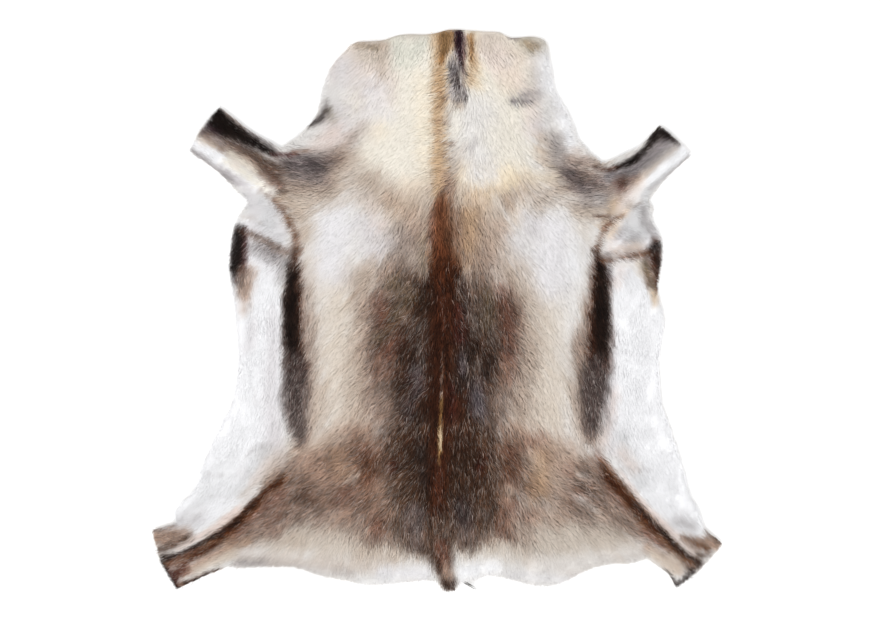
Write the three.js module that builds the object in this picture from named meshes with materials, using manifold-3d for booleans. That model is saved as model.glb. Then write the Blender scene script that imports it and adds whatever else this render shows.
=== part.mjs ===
// A reindeer hide laid out flat, hair side up: one tanned skin with its coat, as a single solid.
//
// Millimetres, +Z up. The spine runs along Y, with the neck towards +Y and the tail towards -Y, and the
// hide lies on its flesh side. The origin is the middle of its footprint, on the surface it lies on.
//
// The tables below are in the hide's own terms: "along" is measured down the spine from the cut edge of
// the neck, and "across" is measured from the spine, to the right when the coat is seen from above.

import * as THREE from "three";
import { mergeVertices } from "three/addons/utils/BufferGeometryUtils.js";
import Module from "manifold-3d";

// Driving sizes
const coatDepth = 27; // how high the lying coat stands over the middle of the back
const rimDepth = 8; // how thick skin and coat are at the cut edge
const rimWidth = 85; // how far in from the cut edge the coat rises to its full depth
const bellyShare = 0.72; // depth of the short belly coat, as a share of the coat on the spine
const bellyAcross = 440; // distance from the spine at which that share is reached
const swellHeight = 1.1; // slow unevenness of the lying coat
const swellLength = 170; // distance from one swell to the next
const meshStep = 28; // spacing of the surface grid
const splineSteps = 3; // straight steps between two rows of an outline table
const legOverlap = 55; // how far a leg's strip runs on under the trunk
const blockMargin = 40; // how far the surface block runs past the outline on every side
const blockDepth = 200; // height of the upright outline prism that trims the block

// The trunk, one row for each section from neck to rump
const trunkSections = [
  { at: "neck edge", along: 22, left: -186, right: 216 },
  { at: "neck", along: 59, left: -225, right: 221 },
  { at: "neck", along: 95, left: -246, right: 228 },
  { at: "neck", along: 122, left: -255, right: 232 },
  { at: "neck", along: 172, left: -266, right: 259 },
  { at: "neck base", along: 197, left: -282, right: 271 },
  { at: "shoulder", along: 221, left: -303, right: 278 },
  { at: "shoulder", along: 250, left: -342, right: 299 },
  { at: "shoulder", along: 305, left: -376, right: 360 },
  { at: "armpit", along: 365, left: -414, right: 436 },
  { at: "chest", along: 398, left: -436, right: 436 },
  { at: "chest", along: 441, left: -447, right: 458 },
  { at: "chest", along: 500, left: -452, right: 455 },
  { at: "chest", along: 545, left: -445, right: 448 },
  { at: "belly", along: 610, left: -438, right: 464 },
  { at: "belly", along: 672, left: -433, right: 453 },
  { at: "belly", along: 735, left: -437, right: 452 },
  { at: "belly", along: 790, left: -450, right: 460 },
  { at: "flank", along: 850, left: -480, right: 480 },
  { at: "flank", along: 910, left: -507, right: 499 },
  { at: "groin", along: 968, left: -527, right: 514 },
  { at: "groin", along: 996, left: -556, right: 528 },
  { at: "groin", along: 1037, left: -558, right: 544 },
];

// Cut edge across the neck, from left to right
const neckEdge = [
  { across: -130, along: 19 },
  { across: -92, along: 7 },
  { across: -30, along: 6 },
  { across: 14, along: -4 },
  { across: 76, along: 0 },
  { across: 118, along: 2 },
  { across: 139, along: 14 },
  { across: 190, along: 11 },
];

// Cut edge across the rump, from right to left
const rumpEdge = [
  { across: 416, along: 1114 },
  { across: 350, along: 1121 },
  { across: 302, along: 1134 },
  { across: 246, along: 1162 },
  { across: 204, along: 1168 },
  { across: 150, along: 1157 },
  { across: 92, along: 1146 },
  { across: 52, along: 1160 },
  { across: -40, along: 1156 },
  { across: -145, along: 1166 },
  { across: -200, along: 1158 },
  { across: -262, along: 1146 },
  { across: -310, along: 1130 },
  { across: -365, along: 1127 },
  { across: -438, along: 1131 },
];

// Legs and tail: a strip each, from its root on the trunk to its cut end. The widths are those at its
// root, middle and end. "bow" is how far the middle lies to the left of the straight line from root to
// end, "bulge" how far the cut swells out at its middle, and "slant" its turn from square, in degrees.
const strips = [
  { name: "left foreleg", root: [-381, 301], end: [-504, 207], widths: [128, 110, 112], bow: 0, bulge: 5, slant: 2 },
  { name: "right foreleg", root: [383, 321], end: [486, 231], widths: [120, 87, 94], bow: -4, bulge: 2, slant: 6 },
  { name: "left hind leg", root: [-500, 1080], end: [-588, 1113], widths: [122, 128, 138], bow: 0, bulge: 9, slant: 2 },
  { name: "right hind leg", root: [483, 1073], end: [537, 1126], widths: [128, 122, 138], bow: 3, bulge: 6, slant: -2 },
  { name: "tail", root: [7, 1116], end: [11, 1179], widths: [76, 60, 22], bow: 0, bulge: 0, slant: 0 },
];

// Folds: soft troughs (depth > 0) and ridges (depth < 0) from one point to another
const folds = [
  { name: "left armpit", from: [-390, 322], to: [-302, 470], width: 26, depth: 9 },
  { name: "left chest", from: [-425, 385], to: [-335, 446], width: 20, depth: 7 },
  { name: "right armpit", from: [412, 345], to: [323, 432], width: 26, depth: 9 },
  { name: "right chest", from: [440, 458], to: [332, 464], width: 20, depth: 7 },
  { name: "left belly, outer", from: [-505, 935], to: [-440, 925], width: 18, depth: 4 },
  { name: "left belly, inner", from: [-440, 905], to: [-408, 870], width: 16, depth: 3 },
  { name: "right belly, low", from: [505, 924], to: [385, 922], width: 18, depth: 4 },
  { name: "right belly, high", from: [470, 860], to: [400, 872], width: 16, depth: 3 },
  { name: "left haunch", from: [-352, 948], to: [-580, 1122], width: 24, depth: -7 },
  { name: "right haunch", from: [330, 895], to: [528, 1126], width: 24, depth: -7 },
  { name: "left foreleg", from: [-330, 262], to: [-500, 190], width: 30, depth: -4 },
  { name: "right foreleg", from: [330, 290], to: [478, 205], width: 30, depth: -4 },
  { name: "crest of the neck", from: [20, 20], to: [16, 170], width: 16, depth: -3 },
];

// Where the dried skin has drawn up off the floor
const lifts = [
  { name: "left foreleg", at: [-520, 205], reach: 120, height: 7 },
  { name: "right foreleg", at: [505, 225], reach: 110, height: 6 },
  { name: "left hind leg", at: [-615, 1110], reach: 130, height: 8 },
  { name: "right hind leg", at: [565, 1135], reach: 130, height: 7 },
  { name: "left neck corner", at: [-215, 20], reach: 95, height: 5 },
  { name: "right neck corner", at: [235, 15], reach: 90, height: 4 },
];

const flat = (row) => new THREE.Vector2(row.across, -row.along);
const pair = ([across, along]) => new THREE.Vector2(across, -along);

// The trunk's outline: both sides from the section table, joined by the two cut edges.
function trunkShape() {
  const shape = new THREE.Shape();
  const left = trunkSections.map((s) => new THREE.Vector2(s.left, -s.along));
  const right = trunkSections.map((s) => new THREE.Vector2(s.right, -s.along));
  shape.moveTo(left[0].x, left[0].y);
  shape.splineThru([...neckEdge.map(flat), right[0]]);
  shape.splineThru(right.slice(1));
  shape.splineThru(rumpEdge.map(flat));
  shape.splineThru(left.slice(1).reverse());
  return shape;
}

// A leg's outline: a strip about its centre line, whose width runs from root through middle to end.
function stripShape({ root, end, widths, bow, bulge, slant }) {
  const base = pair(root);
  const tip = pair(end);
  const outward = tip.clone().sub(base).normalize();
  const aside = new THREE.Vector2(-outward.y, outward.x);
  const cut = aside.clone().rotateAround(new THREE.Vector2(), THREE.MathUtils.degToRad(slant));
  const start = base.clone().addScaledVector(outward, -legOverlap);
  const middle = base.clone().lerp(tip, 0.5).addScaledVector(aside, bow);
  const cutMiddle = tip.clone().addScaledVector(outward, bulge);
  const [rootWidth, midWidth, endWidth] = widths;
  const left = [
    start.clone().addScaledVector(aside, rootWidth / 2),
    base.clone().addScaledVector(aside, rootWidth / 2),
    middle.clone().addScaledVector(aside, midWidth / 2),
    tip.clone().addScaledVector(cut, endWidth / 2),
  ];
  const right = [
    tip.clone().addScaledVector(cut, -endWidth / 2),
    middle.clone().addScaledVector(aside, -midWidth / 2),
    base.clone().addScaledVector(aside, -rootWidth / 2),
    start.clone().addScaledVector(aside, -rootWidth / 2),
  ];
  const shape = new THREE.Shape();
  shape.moveTo(left[0].x, left[0].y);
  shape.splineThru(left.slice(1));
  shape.lineTo(cutMiddle.x, cutMiddle.y);
  shape.lineTo(right[0].x, right[0].y);
  shape.splineThru(right.slice(1));
  return shape;
}

// How far a point lies inside a closed outline, or 0 outside it.
function depthInside(point, outline) {
  let nearest = Infinity;
  let inside = false;
  const segment = new THREE.Line3();
  const at = new THREE.Vector3(point.x, point.y, 0);
  const foot = new THREE.Vector3();
  outline.forEach((a, i) => {
    const b = outline[(i + 1) % outline.length];
    segment.start.set(a.x, a.y, 0);
    segment.end.set(b.x, b.y, 0);
    nearest = Math.min(nearest, segment.closestPointToPoint(at, true, foot).distanceTo(at));
    const crosses = a.y > point.y !== b.y > point.y;
    if (crosses && point.x < a.x + ((point.y - a.y) / (b.y - a.y)) * (b.x - a.x)) inside = !inside;
  });
  return inside ? nearest : 0;
}

const shapes = [trunkShape(), ...strips.map(stripShape)];
const outlines = shapes.map((shape) => shape.getPoints(splineSteps));

// Depth of the lying coat over a point: full on the back, less on the belly and towards the cut edge.
function coatOver(point) {
  const fromEdge = Math.max(...outlines.map((outline) => depthInside(point, outline)));
  const rise = THREE.MathUtils.smoothstep(fromEdge, 0, rimWidth);
  const aside = THREE.MathUtils.smoothstep(Math.abs(point.x), 0, bellyAcross);
  const full = coatDepth * THREE.MathUtils.lerp(1, bellyShare, aside);
  const turn = (2 * Math.PI) / swellLength;
  const swell = swellHeight * Math.sin(point.x * turn + point.y * turn * 0.3) * Math.cos(point.y * turn);
  return THREE.MathUtils.lerp(rimDepth, full + swell, rise);
}

// What the folds take off the coat at a point: a bell-shaped trough about each fold's line.
function foldsAt(point) {
  const line = new THREE.Line3();
  const at = new THREE.Vector3(point.x, point.y, 0);
  const foot = new THREE.Vector3();
  return folds.reduce((sum, { from, to, width, depth }) => {
    line.start.set(from[0], -from[1], 0);
    line.end.set(to[0], -to[1], 0);
    const away = line.closestPointToPoint(at, true, foot).distanceTo(at) / width;
    return sum + depth * Math.exp(-away * away);
  }, 0);
}

// How far the skin has drawn up off the floor: nothing past each lift's reach.
function liftAt(point) {
  return lifts.reduce((sum, { at, reach, height }) => {
    const near = Math.max(0, 1 - point.distanceTo(pair(at)) / reach);
    return sum + height * near * near;
  }, 0);
}

const wasm = await Module();
wasm.setup();

// A closed three.js geometry as a manifold-3d solid.
function solid(geometry) {
  geometry.deleteAttribute("normal");
  geometry.deleteAttribute("uv");
  const merged = mergeVertices(geometry);
  return new wasm.Manifold(
    new wasm.Mesh({
      numProp: 3,
      vertProperties: merged.attributes.position.array,
      triVerts: new Uint32Array(merged.index.array),
    }),
  );
}

// The surface block: a thin box on a square grid, whose top follows the coat and whose underside
// follows the skin.
function surfaceBlock(bounds) {
  const size = bounds.getSize(new THREE.Vector2()).addScalar(2 * blockMargin);
  const centre = bounds.getCenter(new THREE.Vector2());
  const block = new THREE.BoxGeometry(
    size.x, size.y, 2,
    Math.round(size.x / meshStep), Math.round(size.y / meshStep), 1,
  );
  const position = block.attributes.position;
  for (let i = 0; i < position.count; i++) {
    const point = new THREE.Vector2(position.getX(i), position.getY(i)).add(centre);
    const lift = liftAt(point);
    const top = lift + Math.max(coatOver(point) - foldsAt(point), rimDepth / 2);
    position.setXYZ(i, point.x, point.y, position.getZ(i) > 0 ? top : lift);
  }
  return block;
}

// An upright prism on an outline, taller than the block.
function prism(shape) {
  const geometry = new THREE.ExtrudeGeometry(shape, {
    depth: blockDepth,
    curveSegments: splineSteps,
    bevelEnabled: false,
  });
  return geometry.translate(0, 0, -blockDepth / 2);
}

function hideGeometry() {
  const outline = shapes.map((shape) => solid(prism(shape))).reduce((all, next) => all.add(next));
  const bounds = new THREE.Box2().setFromPoints(outlines.flat());
  const cut = solid(surfaceBlock(bounds)).intersect(outline).getMesh();
  const geometry = new THREE.BufferGeometry();
  geometry.setAttribute("position", new THREE.BufferAttribute(cut.vertProperties, cut.numProp));
  geometry.setIndex(new THREE.BufferAttribute(cut.triVerts, 1));
  geometry.computeBoundingBox();
  const box = geometry.boundingBox;
  const middle = box.getCenter(new THREE.Vector3());
  geometry.translate(-middle.x, -middle.y, -box.min.z);
  geometry.computeVertexNormals();
  return geometry;
}

const coatMaterial = new THREE.MeshStandardMaterial({ color: 0xb9a796, roughness: 0.92, metalness: 0 });

const hide = new THREE.Mesh(hideGeometry(), coatMaterial);
hide.name = "hide";

const object = new THREE.Group();
object.add(hide);

export default object;
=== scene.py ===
"""Reindeer hide: a whole tanned skin with its winter coat on, laid out flat with the neck towards +Y.

The thin skin is cut to the outline of the CAD node it stands for. A woolly underfur and the lying guard
hair, in pointed locks, fill that node's depth. Everything is in metres.
"""

import bpy
import numpy as np
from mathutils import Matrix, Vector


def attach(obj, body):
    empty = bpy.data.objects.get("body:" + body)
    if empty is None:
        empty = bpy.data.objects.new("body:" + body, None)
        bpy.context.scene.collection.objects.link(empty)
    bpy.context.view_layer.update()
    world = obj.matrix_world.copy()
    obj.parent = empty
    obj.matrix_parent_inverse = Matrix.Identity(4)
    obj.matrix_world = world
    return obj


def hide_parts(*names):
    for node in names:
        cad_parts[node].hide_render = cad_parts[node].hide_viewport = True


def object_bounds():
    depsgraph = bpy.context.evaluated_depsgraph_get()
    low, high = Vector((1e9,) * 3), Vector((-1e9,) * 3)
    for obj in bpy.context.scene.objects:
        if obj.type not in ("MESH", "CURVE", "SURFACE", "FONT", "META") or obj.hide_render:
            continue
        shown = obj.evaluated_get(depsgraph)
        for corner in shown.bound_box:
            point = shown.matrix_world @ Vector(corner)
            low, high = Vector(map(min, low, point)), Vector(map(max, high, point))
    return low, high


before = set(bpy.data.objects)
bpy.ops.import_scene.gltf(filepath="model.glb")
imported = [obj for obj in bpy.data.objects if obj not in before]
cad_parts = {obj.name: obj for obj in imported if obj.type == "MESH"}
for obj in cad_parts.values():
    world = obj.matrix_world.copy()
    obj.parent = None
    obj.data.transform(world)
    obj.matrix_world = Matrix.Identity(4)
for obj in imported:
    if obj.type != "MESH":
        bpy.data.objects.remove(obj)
cad_box = [list(corner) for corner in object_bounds()]


# ------------------------------------------------------------------ camera
# The camera hangs straight above the hide and looks down on it, with the neck at the top of the picture.

lens, sensor = 85.0, 36.0  # millimetres
view_across = 1.848  # metres seen from side to side, at the height of the coat
coat_height = 0.018
aim = (0.005, -0.0107)


def in_scene(name, data):
    """A new object with the given data, at the origin of the scene."""
    thing = bpy.data.objects.new(name, data)
    bpy.context.collection.objects.link(thing)
    return thing


camera_data = bpy.data.cameras.new("camera")
camera_data.lens = lens
camera_data.sensor_width = sensor
camera = in_scene("camera", camera_data)
camera.location = (aim[0], aim[1], coat_height + view_across * lens / sensor)
bpy.context.scene.camera = camera
bpy.context.scene.view_settings.view_transform = "Standard"


# ------------------------------------------------------------------ the tanned skin
# Tanned reindeer skin about 2 mm thick, with a napped suede flesh side. It is one piece, cut round the
# legs, neck and tail, and lies flat except where the leg ends and the corners of the neck curl up.

skin_thickness = 0.002
skin_mesh_step = 0.010
skin_inset = 0.002  # the hair hides the cut edge by this much
suede_stops = ((0.32, (0.42, 0.30, 0.19, 1)), (0.66, (0.62, 0.51, 0.38, 1)))  # stained, clean
outline_step = 0.004
outline_digits = 5  # corners of the outline are the same point when they round to the same digits
steep_face = 0.3  # faces whose normal stands higher than this belong to the top or the underside
height_step = 0.008
height_spread = 24  # points along each side of a triangle whose heights are counted
side_share = (0.02, 0.96)  # of the side, from the first of them to the last
height_rounds = 8  # how often a cell without points takes those of the cells beside it
rim_rounds = 3  # how often the points of a sheet's rim move closer to their depth

field_margin = 0.035
field_low = np.array(cad_box[0][:2]) - field_margin
field_size = np.array(cad_box[1][:2]) + field_margin - field_low


def field_points(step):
    """x and y of the points of a grid over the whole hide, about step apart."""
    count = np.round(field_size / step).astype(int) + 1
    across = field_low[0] + np.linspace(0, 1, count[0]) * field_size[0]
    along = field_low[1] + np.linspace(0, 1, count[1]) * field_size[1]
    return np.meshgrid(across, along)


def look_up(field, x, y):
    """Value at any point of a field kept on such a grid: the four nearest points, weighted by nearness."""
    rows, columns = field.shape[:2]
    u = np.clip((x - field_low[0]) / field_size[0], 0, 1) * (columns - 1.001)
    v = np.clip((y - field_low[1]) / field_size[1], 0, 1) * (rows - 1.001)
    i, j = u.astype(int), v.astype(int)
    fu, fv = u - i, v - j
    if field.ndim == 3:
        fu, fv = fu[..., None], fv[..., None]
    near = field[j, i] * (1 - fu) + field[j, i + 1] * fu
    far = field[j + 1, i] * (1 - fu) + field[j + 1, i + 1] * fu
    return near * (1 - fv) + far * fv


def cad_faces(node):
    """Corners of a CAD node's triangles, as an array of triangles by 3 corners by x, y and z, and the
    height that each triangle's normal stands to, from -1 to 1."""
    mesh = node.data
    mesh.calc_loop_triangles()
    corner = np.empty(len(mesh.loop_triangles) * 3, int)
    mesh.loop_triangles.foreach_get("vertices", corner)
    place = np.empty(len(mesh.vertices) * 3)
    mesh.vertices.foreach_get("co", place)
    corners = place.reshape(-1, 3)[corner].reshape(-1, 3, 3)
    normal = np.cross(corners[:, 1] - corners[:, 0], corners[:, 2] - corners[:, 0])
    return corners, normal[:, 2] / np.maximum(np.linalg.norm(normal, axis=1), 1e-12)


def outline_edges(corners):
    """Start and end of each edge of a patch of triangles that only one triangle uses, in x and y, but for
    edges of no length."""
    corners = np.round(corners[..., :2], outline_digits)
    start, end = corners.reshape(-1, 2), np.roll(corners, -1, axis=1).reshape(-1, 2)
    _, number = np.unique(np.vstack([start, end]), axis=0, return_inverse=True)
    first, second = np.split(number.ravel(), 2)
    pair = np.stack([np.minimum(first, second), np.maximum(first, second)], 1)
    _, back, uses = np.unique(pair, axis=0, return_inverse=True, return_counts=True)
    alone = (uses[back.ravel()] == 1) & (first != second)
    return start[alone], end[alone]


def depth_inside(start, end, x, y):
    """Distance from each point of one row of a grid to the nearest outline edge. It counts above 0 where
    a line from the point towards +X crosses the outline an odd number of times."""
    px, py = x[:, None], y[:, None]
    step = end - start
    share = ((px - start[:, 0]) * step[:, 0] + (py - start[:, 1]) * step[:, 1]) / (step ** 2).sum(1)
    share = np.clip(share, 0, 1)
    gap = np.hypot(px - start[:, 0] - share * step[:, 0], py - start[:, 1] - share * step[:, 1]).min(1)
    spans = (start[:, 1] > py) != (end[:, 1] > py)
    rise = np.where(step[:, 1] == 0, 1, step[:, 1])
    meets = start[:, 0] + (py - start[:, 1]) * step[:, 0] / rise
    inside = (spans & (meets > px)).sum(1) % 2 == 1
    return np.where(inside, gap, -gap)


def mean_height(corners):
    """Height of a patch of triangles on a grid: many evenly spread points of every triangle are counted
    into the grid's cells, and each cell takes their mean, or a wider mean where it has none."""
    a, b = np.meshgrid(np.linspace(*side_share, height_spread), np.linspace(*side_share, height_spread))
    a, b = a[a + b < 1], b[a + b < 1]
    points = (corners[:, None, 0] * (1 - a - b)[:, None] + corners[:, None, 1] * a[:, None]
              + corners[:, None, 2] * b[:, None]).reshape(-1, 3)
    rows, columns = field_points(height_step)[0].shape
    i = np.round((points[:, 0] - field_low[0]) / field_size[0] * (columns - 1)).astype(int)
    j = np.round((points[:, 1] - field_low[1]) / field_size[1] * (rows - 1)).astype(int)
    cell = j * columns + i
    total = np.bincount(cell, points[:, 2], rows * columns).reshape(rows, columns)
    count = np.bincount(cell, None, rows * columns).reshape(rows, columns).astype(float)
    for _ in range(height_rounds):
        wide_total, wide_count = total.copy(), count.copy()
        for axis in (0, 1):
            for shift in (-1, 1):
                wide_total += np.roll(total, shift, axis)
                wide_count += np.roll(count, shift, axis)
        empty = count == 0
        total, count = np.where(empty, wide_total, total), np.where(empty, wide_count, count)
    return total / np.maximum(count, 1)


hide_corners, hide_rise = cad_faces(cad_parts["hide"])
edge_start, edge_end = outline_edges(hide_corners[hide_rise > steep_face])
depth = np.array([depth_inside(edge_start, edge_end, *row) for row in zip(*field_points(outline_step))])
inward = np.stack(np.gradient(depth)[::-1], -1)
inward /= np.maximum(np.linalg.norm(inward, axis=-1, keepdims=True), 1e-9)
coat_top = mean_height(hide_corners[hide_rise > steep_face])
skin_level = mean_height(hide_corners[hide_rise < -steep_face])


def cut_sheet(name, step, inset, lower, upper):
    """A closed sheet cut to the outline. Square cells whose middles lie deeper than inset are kept, the
    points of the rim move onto that depth, and lower and upper give the height of the two faces, which
    a wall joins along the rim."""
    x, y = field_points(step)
    point = np.arange(x.size).reshape(x.shape)
    cells = np.stack([point[:-1, :-1], point[:-1, 1:], point[1:, 1:], point[1:, :-1]], -1).reshape(-1, 4)
    x, y = x.ravel(), y.ravel()
    cells = cells[look_up(depth, x[cells].mean(1), y[cells].mean(1)) > inset]
    used, cells = np.unique(cells, return_inverse=True)
    cells = cells.reshape(-1, 4)
    x, y = x[used], y[used]
    first, second = cells.ravel(), np.roll(cells, -1, axis=1).ravel()
    rim = ~np.isin(first * len(x) + second, second * len(x) + first)
    first, second = first[rim], second[rim]
    on_rim = np.unique(first)
    for _ in range(rim_rounds):
        move = look_up(depth, x[on_rim], y[on_rim]) - inset
        towards = look_up(inward, x[on_rim], y[on_rim])
        x[on_rim] -= move * towards[:, 0]
        y[on_rim] -= move * towards[:, 1]
    below, above = np.stack([x, y, lower(x, y)], 1), np.stack([x, y, upper(x, y)], 1)
    wall = np.stack([second + len(x), first + len(x), first, second], 1)
    faces = np.vstack([cells + len(x), cells[:, ::-1], wall])
    mesh = bpy.data.meshes.new(name)
    mesh.from_pydata(np.vstack([below, above]).tolist(), [], faces.tolist())
    mesh.shade_smooth()
    return in_scene(name, mesh)


def skin_underside(x, y):
    """Height of the flesh side: the underside of the CAD node."""
    return np.maximum(look_up(skin_level, x, y), 0)


def skin_topside(x, y):
    """Height of the side that the hair grows from: the flesh side plus the skin's thickness."""
    return skin_underside(x, y) + skin_thickness


def new_material(name):
    """A new material, with its nodes, its links and the surface that they lead to."""
    material = bpy.data.materials.new(name)
    material.use_nodes = True
    nodes, links = material.node_tree.nodes, material.node_tree.links
    return material, nodes, links, nodes["Principled BSDF"]


def set_inputs(node, **values):
    """Sets inputs of a node, each by its name with _ for a blank, and gives the node back."""
    for name, value in values.items():
        node.inputs[name.replace("_", " ")].default_value = value
    return node


def suede():
    """Napped, tanned flesh side: cream with broad stains, and wrinkles and a short nap in the bump."""
    material, nodes, links, surface = new_material("tanned suede")
    place = nodes.new("ShaderNodeTexCoord")
    stains = set_inputs(nodes.new("ShaderNodeTexNoise"), Scale=9, Detail=6)
    shades = nodes.new("ShaderNodeValToRGB")
    for stop, (position, colour) in zip(shades.color_ramp.elements, suede_stops):
        stop.position = position
        stop.color = colour
    nap = set_inputs(nodes.new("ShaderNodeTexNoise"), Scale=900, Detail=4)
    wrinkles = set_inputs(nodes.new("ShaderNodeTexNoise"), Scale=60, Distortion=1.2)
    coarse = set_inputs(nodes.new("ShaderNodeBump"), Strength=0.35, Distance=0.002)
    fine = set_inputs(nodes.new("ShaderNodeBump"), Strength=0.5, Distance=0.0006)
    for texture in (stains, nap, wrinkles):
        links.new(place.outputs["Object"], texture.inputs["Vector"])
    links.new(stains.outputs["Fac"], shades.inputs["Fac"])
    links.new(shades.outputs["Color"], surface.inputs["Base Color"])
    links.new(wrinkles.outputs["Fac"], coarse.inputs["Height"])
    links.new(nap.outputs["Fac"], fine.inputs["Height"])
    links.new(coarse.outputs["Normal"], fine.inputs["Normal"])
    links.new(fine.outputs["Normal"], surface.inputs["Normal"])
    set_inputs(surface, Roughness=0.92, Sheen_Weight=0.25, Sheen_Roughness=0.6)
    return material


skin = cut_sheet("hide_skin", skin_mesh_step, skin_inset, skin_underside, skin_topside)
skin.data.materials.append(suede())
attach(skin, "root")
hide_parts("hide")


# ------------------------------------------------------------------ the lie of the coat
# The hair grows from the neck towards the tail, parts along the spine and runs outwards and down the
# legs. Listed guides give the direction, and the hair between them lies smoothly from one to the next.

cm = 0.01
lie_step = 0.008
guide_width = 2.0 * cm  # over which the lie turns from one guide to the next
mark_origin = (0.0, -0.0023)  # the guides and the markings are measured from here, in centimetres

# x and y in centimetres, and the way the hair points there in degrees from +X
lie_guides = np.array([
    # neck: crest, tan stripe, left side, right side
    (4.6, 55, 270), (2.5, 50, 215), (6.5, 50, 325), (4, 44, 260), (0.5, 45, 205), (0.5, 38, 200),
    (0.5, 31, 205),
    (-10, 52, 245), (-10, 42, 240), (-10, 30, 240), (-20, 50, 225), (-20, 40, 215),
    (12, 52, 295), (12, 42, 300), (12, 30, 300), (20, 50, 315), (22, 40, 320),
    # left shoulder and foreleg, right shoulder and foreleg
    (-25, 31, 182), (-18, 31, 200), (-30, 28, 170), (-36, 33, 145), (-44, 37, 142), (-49, 39, 142),
    (27, 31, -10), (32, 27, 5), (38, 30, 30), (44, 33, 40), (49, 36, 41),
    # upper back and armpits
    (-5, 18, 245), (-12, 18, 235), (-20, 18, 225), (-26, 12, 230), (-34, 17, 215), (-40, 14, 230),
    (7, 18, 295), (14, 18, 300), (22, 14, 310), (28, 12, 305), (38, 15, 330), (43, 12, 310),
    # saddle
    (-3, 0, 240), (-8, 0, 228), (-14, -2, 225), (-20, -5, 232), (-26, -8, 240),
    (4, 0, 275), (8, -3, 285), (14, -3, 300), (20, -6, 308), (27, -8, 300),
    (-4, -16, 232), (-9, -18, 228), (-15, -20, 235), (6, -14, 272), (10, -18, 290), (16, -20, 300),
    # spine and tail
    (1, 18, 270), (1, 10, 270), (1, 0, 270), (1, -10, 270), (1, -20, 270), (1, -30, 270), (1, -38, 270),
    (2, -50, 270), (2, -57, 272),
    # belly and dark side stripes
    (-36, 0, 262), (-38, -14, 258), (-42, -26, 245), (-48, -36, 235), (-30, 0, 258), (-30, -18, 255),
    (40, 0, 278), (41, -14, 282), (45, -26, 292), (50, -36, 300), (34, 0, 282), (33, -18, 285),
    # rump and hind legs
    (-6, -34, 228), (-14, -34, 225), (-22, -34, 220), (-30, -38, 215), (-38, -44, 212), (-46, -48, 205),
    (-54, -52, 200), (6, -36, 275), (14, -34, 290), (22, -36, 310), (30, -38, 330), (38, -42, 322),
    (46, -48, 318), (54, -53, 315),
    # lower edge
    (-30, -51, 235), (-16, -54, 255), (-8, -53, 262), (8, -53, 278), (18, -54, 288), (30, -52, 300),
])


def hair_lie(x, y):
    """Direction in which the hair points: the mean of the guides' directions, each guide counting with
    one over the square of its distance squared plus a small round-off."""
    gx = lie_guides[:, 0] * cm + mark_origin[0]
    gy = lie_guides[:, 1] * cm + mark_origin[1]
    turn = np.radians(lie_guides[:, 2])
    weight = 1 / ((x[..., None] - gx) ** 2 + (y[..., None] - gy) ** 2 + guide_width ** 2) ** 2
    across, along = (weight * np.cos(turn)).sum(-1), (weight * np.sin(turn)).sum(-1)
    size = np.hypot(across, along)
    return np.stack([across / size, along / size], -1)


lie = hair_lie(*field_points(lie_step))


def combed(width, length, seed):
    """Noise drawn out along the hair: plain noise in cells of the given width, averaged over points up to
    half the length before and behind, then brought to mean 0 and spread 1."""
    x, y = field_points(width)
    noise = np.random.default_rng(seed).standard_normal(x.shape)
    along = look_up(lie, x, y)
    reach = np.linspace(-0.5, 0.5, max(3, int(length / width))) * length
    drawn = sum(look_up(noise, x + r * along[..., 0], y + r * along[..., 1]) for r in reach)
    return (drawn - drawn.mean()) / drawn.std()


# ------------------------------------------------------------------ the colours of the coat
# The winter coat is white below, pale on the flanks, brown on the back and rump, with a black band along
# each side. Every marking is a soft stroke of one colour, laid over the ones before it and feathered
# along the hair.

colour_step = 0.002
# noise along the hair that moves a stroke's edge: width and length in metres, seed, share of the softness
feathering = (((0.004, 0.030, 11), 0.14), ((0.012, 0.050, 12), 0.12))
edge_reach = 2.5  # a stroke is worked out to this many times its softness past its edge
dot_length = 0.01  # centimetres, for a stroke of one point

coat_tones = {  # red, green, blue as seen, 0 to 255
    "white": (243, 243, 245),
    "snow grey": (233, 231, 233),
    "pearl": (228, 225, 222),
    "ivory": (240, 234, 222),
    "cream": (243, 228, 202),
    "peach": (232, 206, 178),
    "blush": (226, 210, 202),
    "lilac grey": (209, 204, 206),
    "mist": (206, 206, 207),
    "dove": (203, 192, 183),
    "sage": (220, 219, 207),
    "beige": (214, 202, 188),
    "greige": (184, 167, 152),
    "taupe": (142, 122, 110),
    "dark taupe": (92, 75, 66),
    "slate": (92, 84, 86),
    "slate blue": (108, 102, 108),
    "fawn": (176, 146, 118),
    "tan": (198, 166, 130),
    "ochre": (146, 106, 66),
    "hazel": (112, 78, 58),
    "walnut": (98, 66, 48),
    "rust": (108, 62, 40),
    "chestnut": (56, 30, 20),
    "dark saddle": (58, 43, 36),
    "saddle": (84, 66, 56),
    "olive brown": (104, 92, 72),
    "russet": (114, 78, 66),
    "maroon": (62, 30, 28),
    "black": (28, 22, 20),
    "stripe": (88, 77, 74),
    "soot": (50, 42, 40),
    "purple black": (42, 24, 32),
    "ash": (152, 146, 146),
    "rump": (118, 94, 81),
    "rump tan": (166, 138, 116),
    "rump red": (118, 86, 74),
    "apricot": (192, 160, 124),
    "rump rose": (172, 145, 128),
    "rump pale": (200, 189, 177),
    "gold": (176, 138, 84),
}

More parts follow.
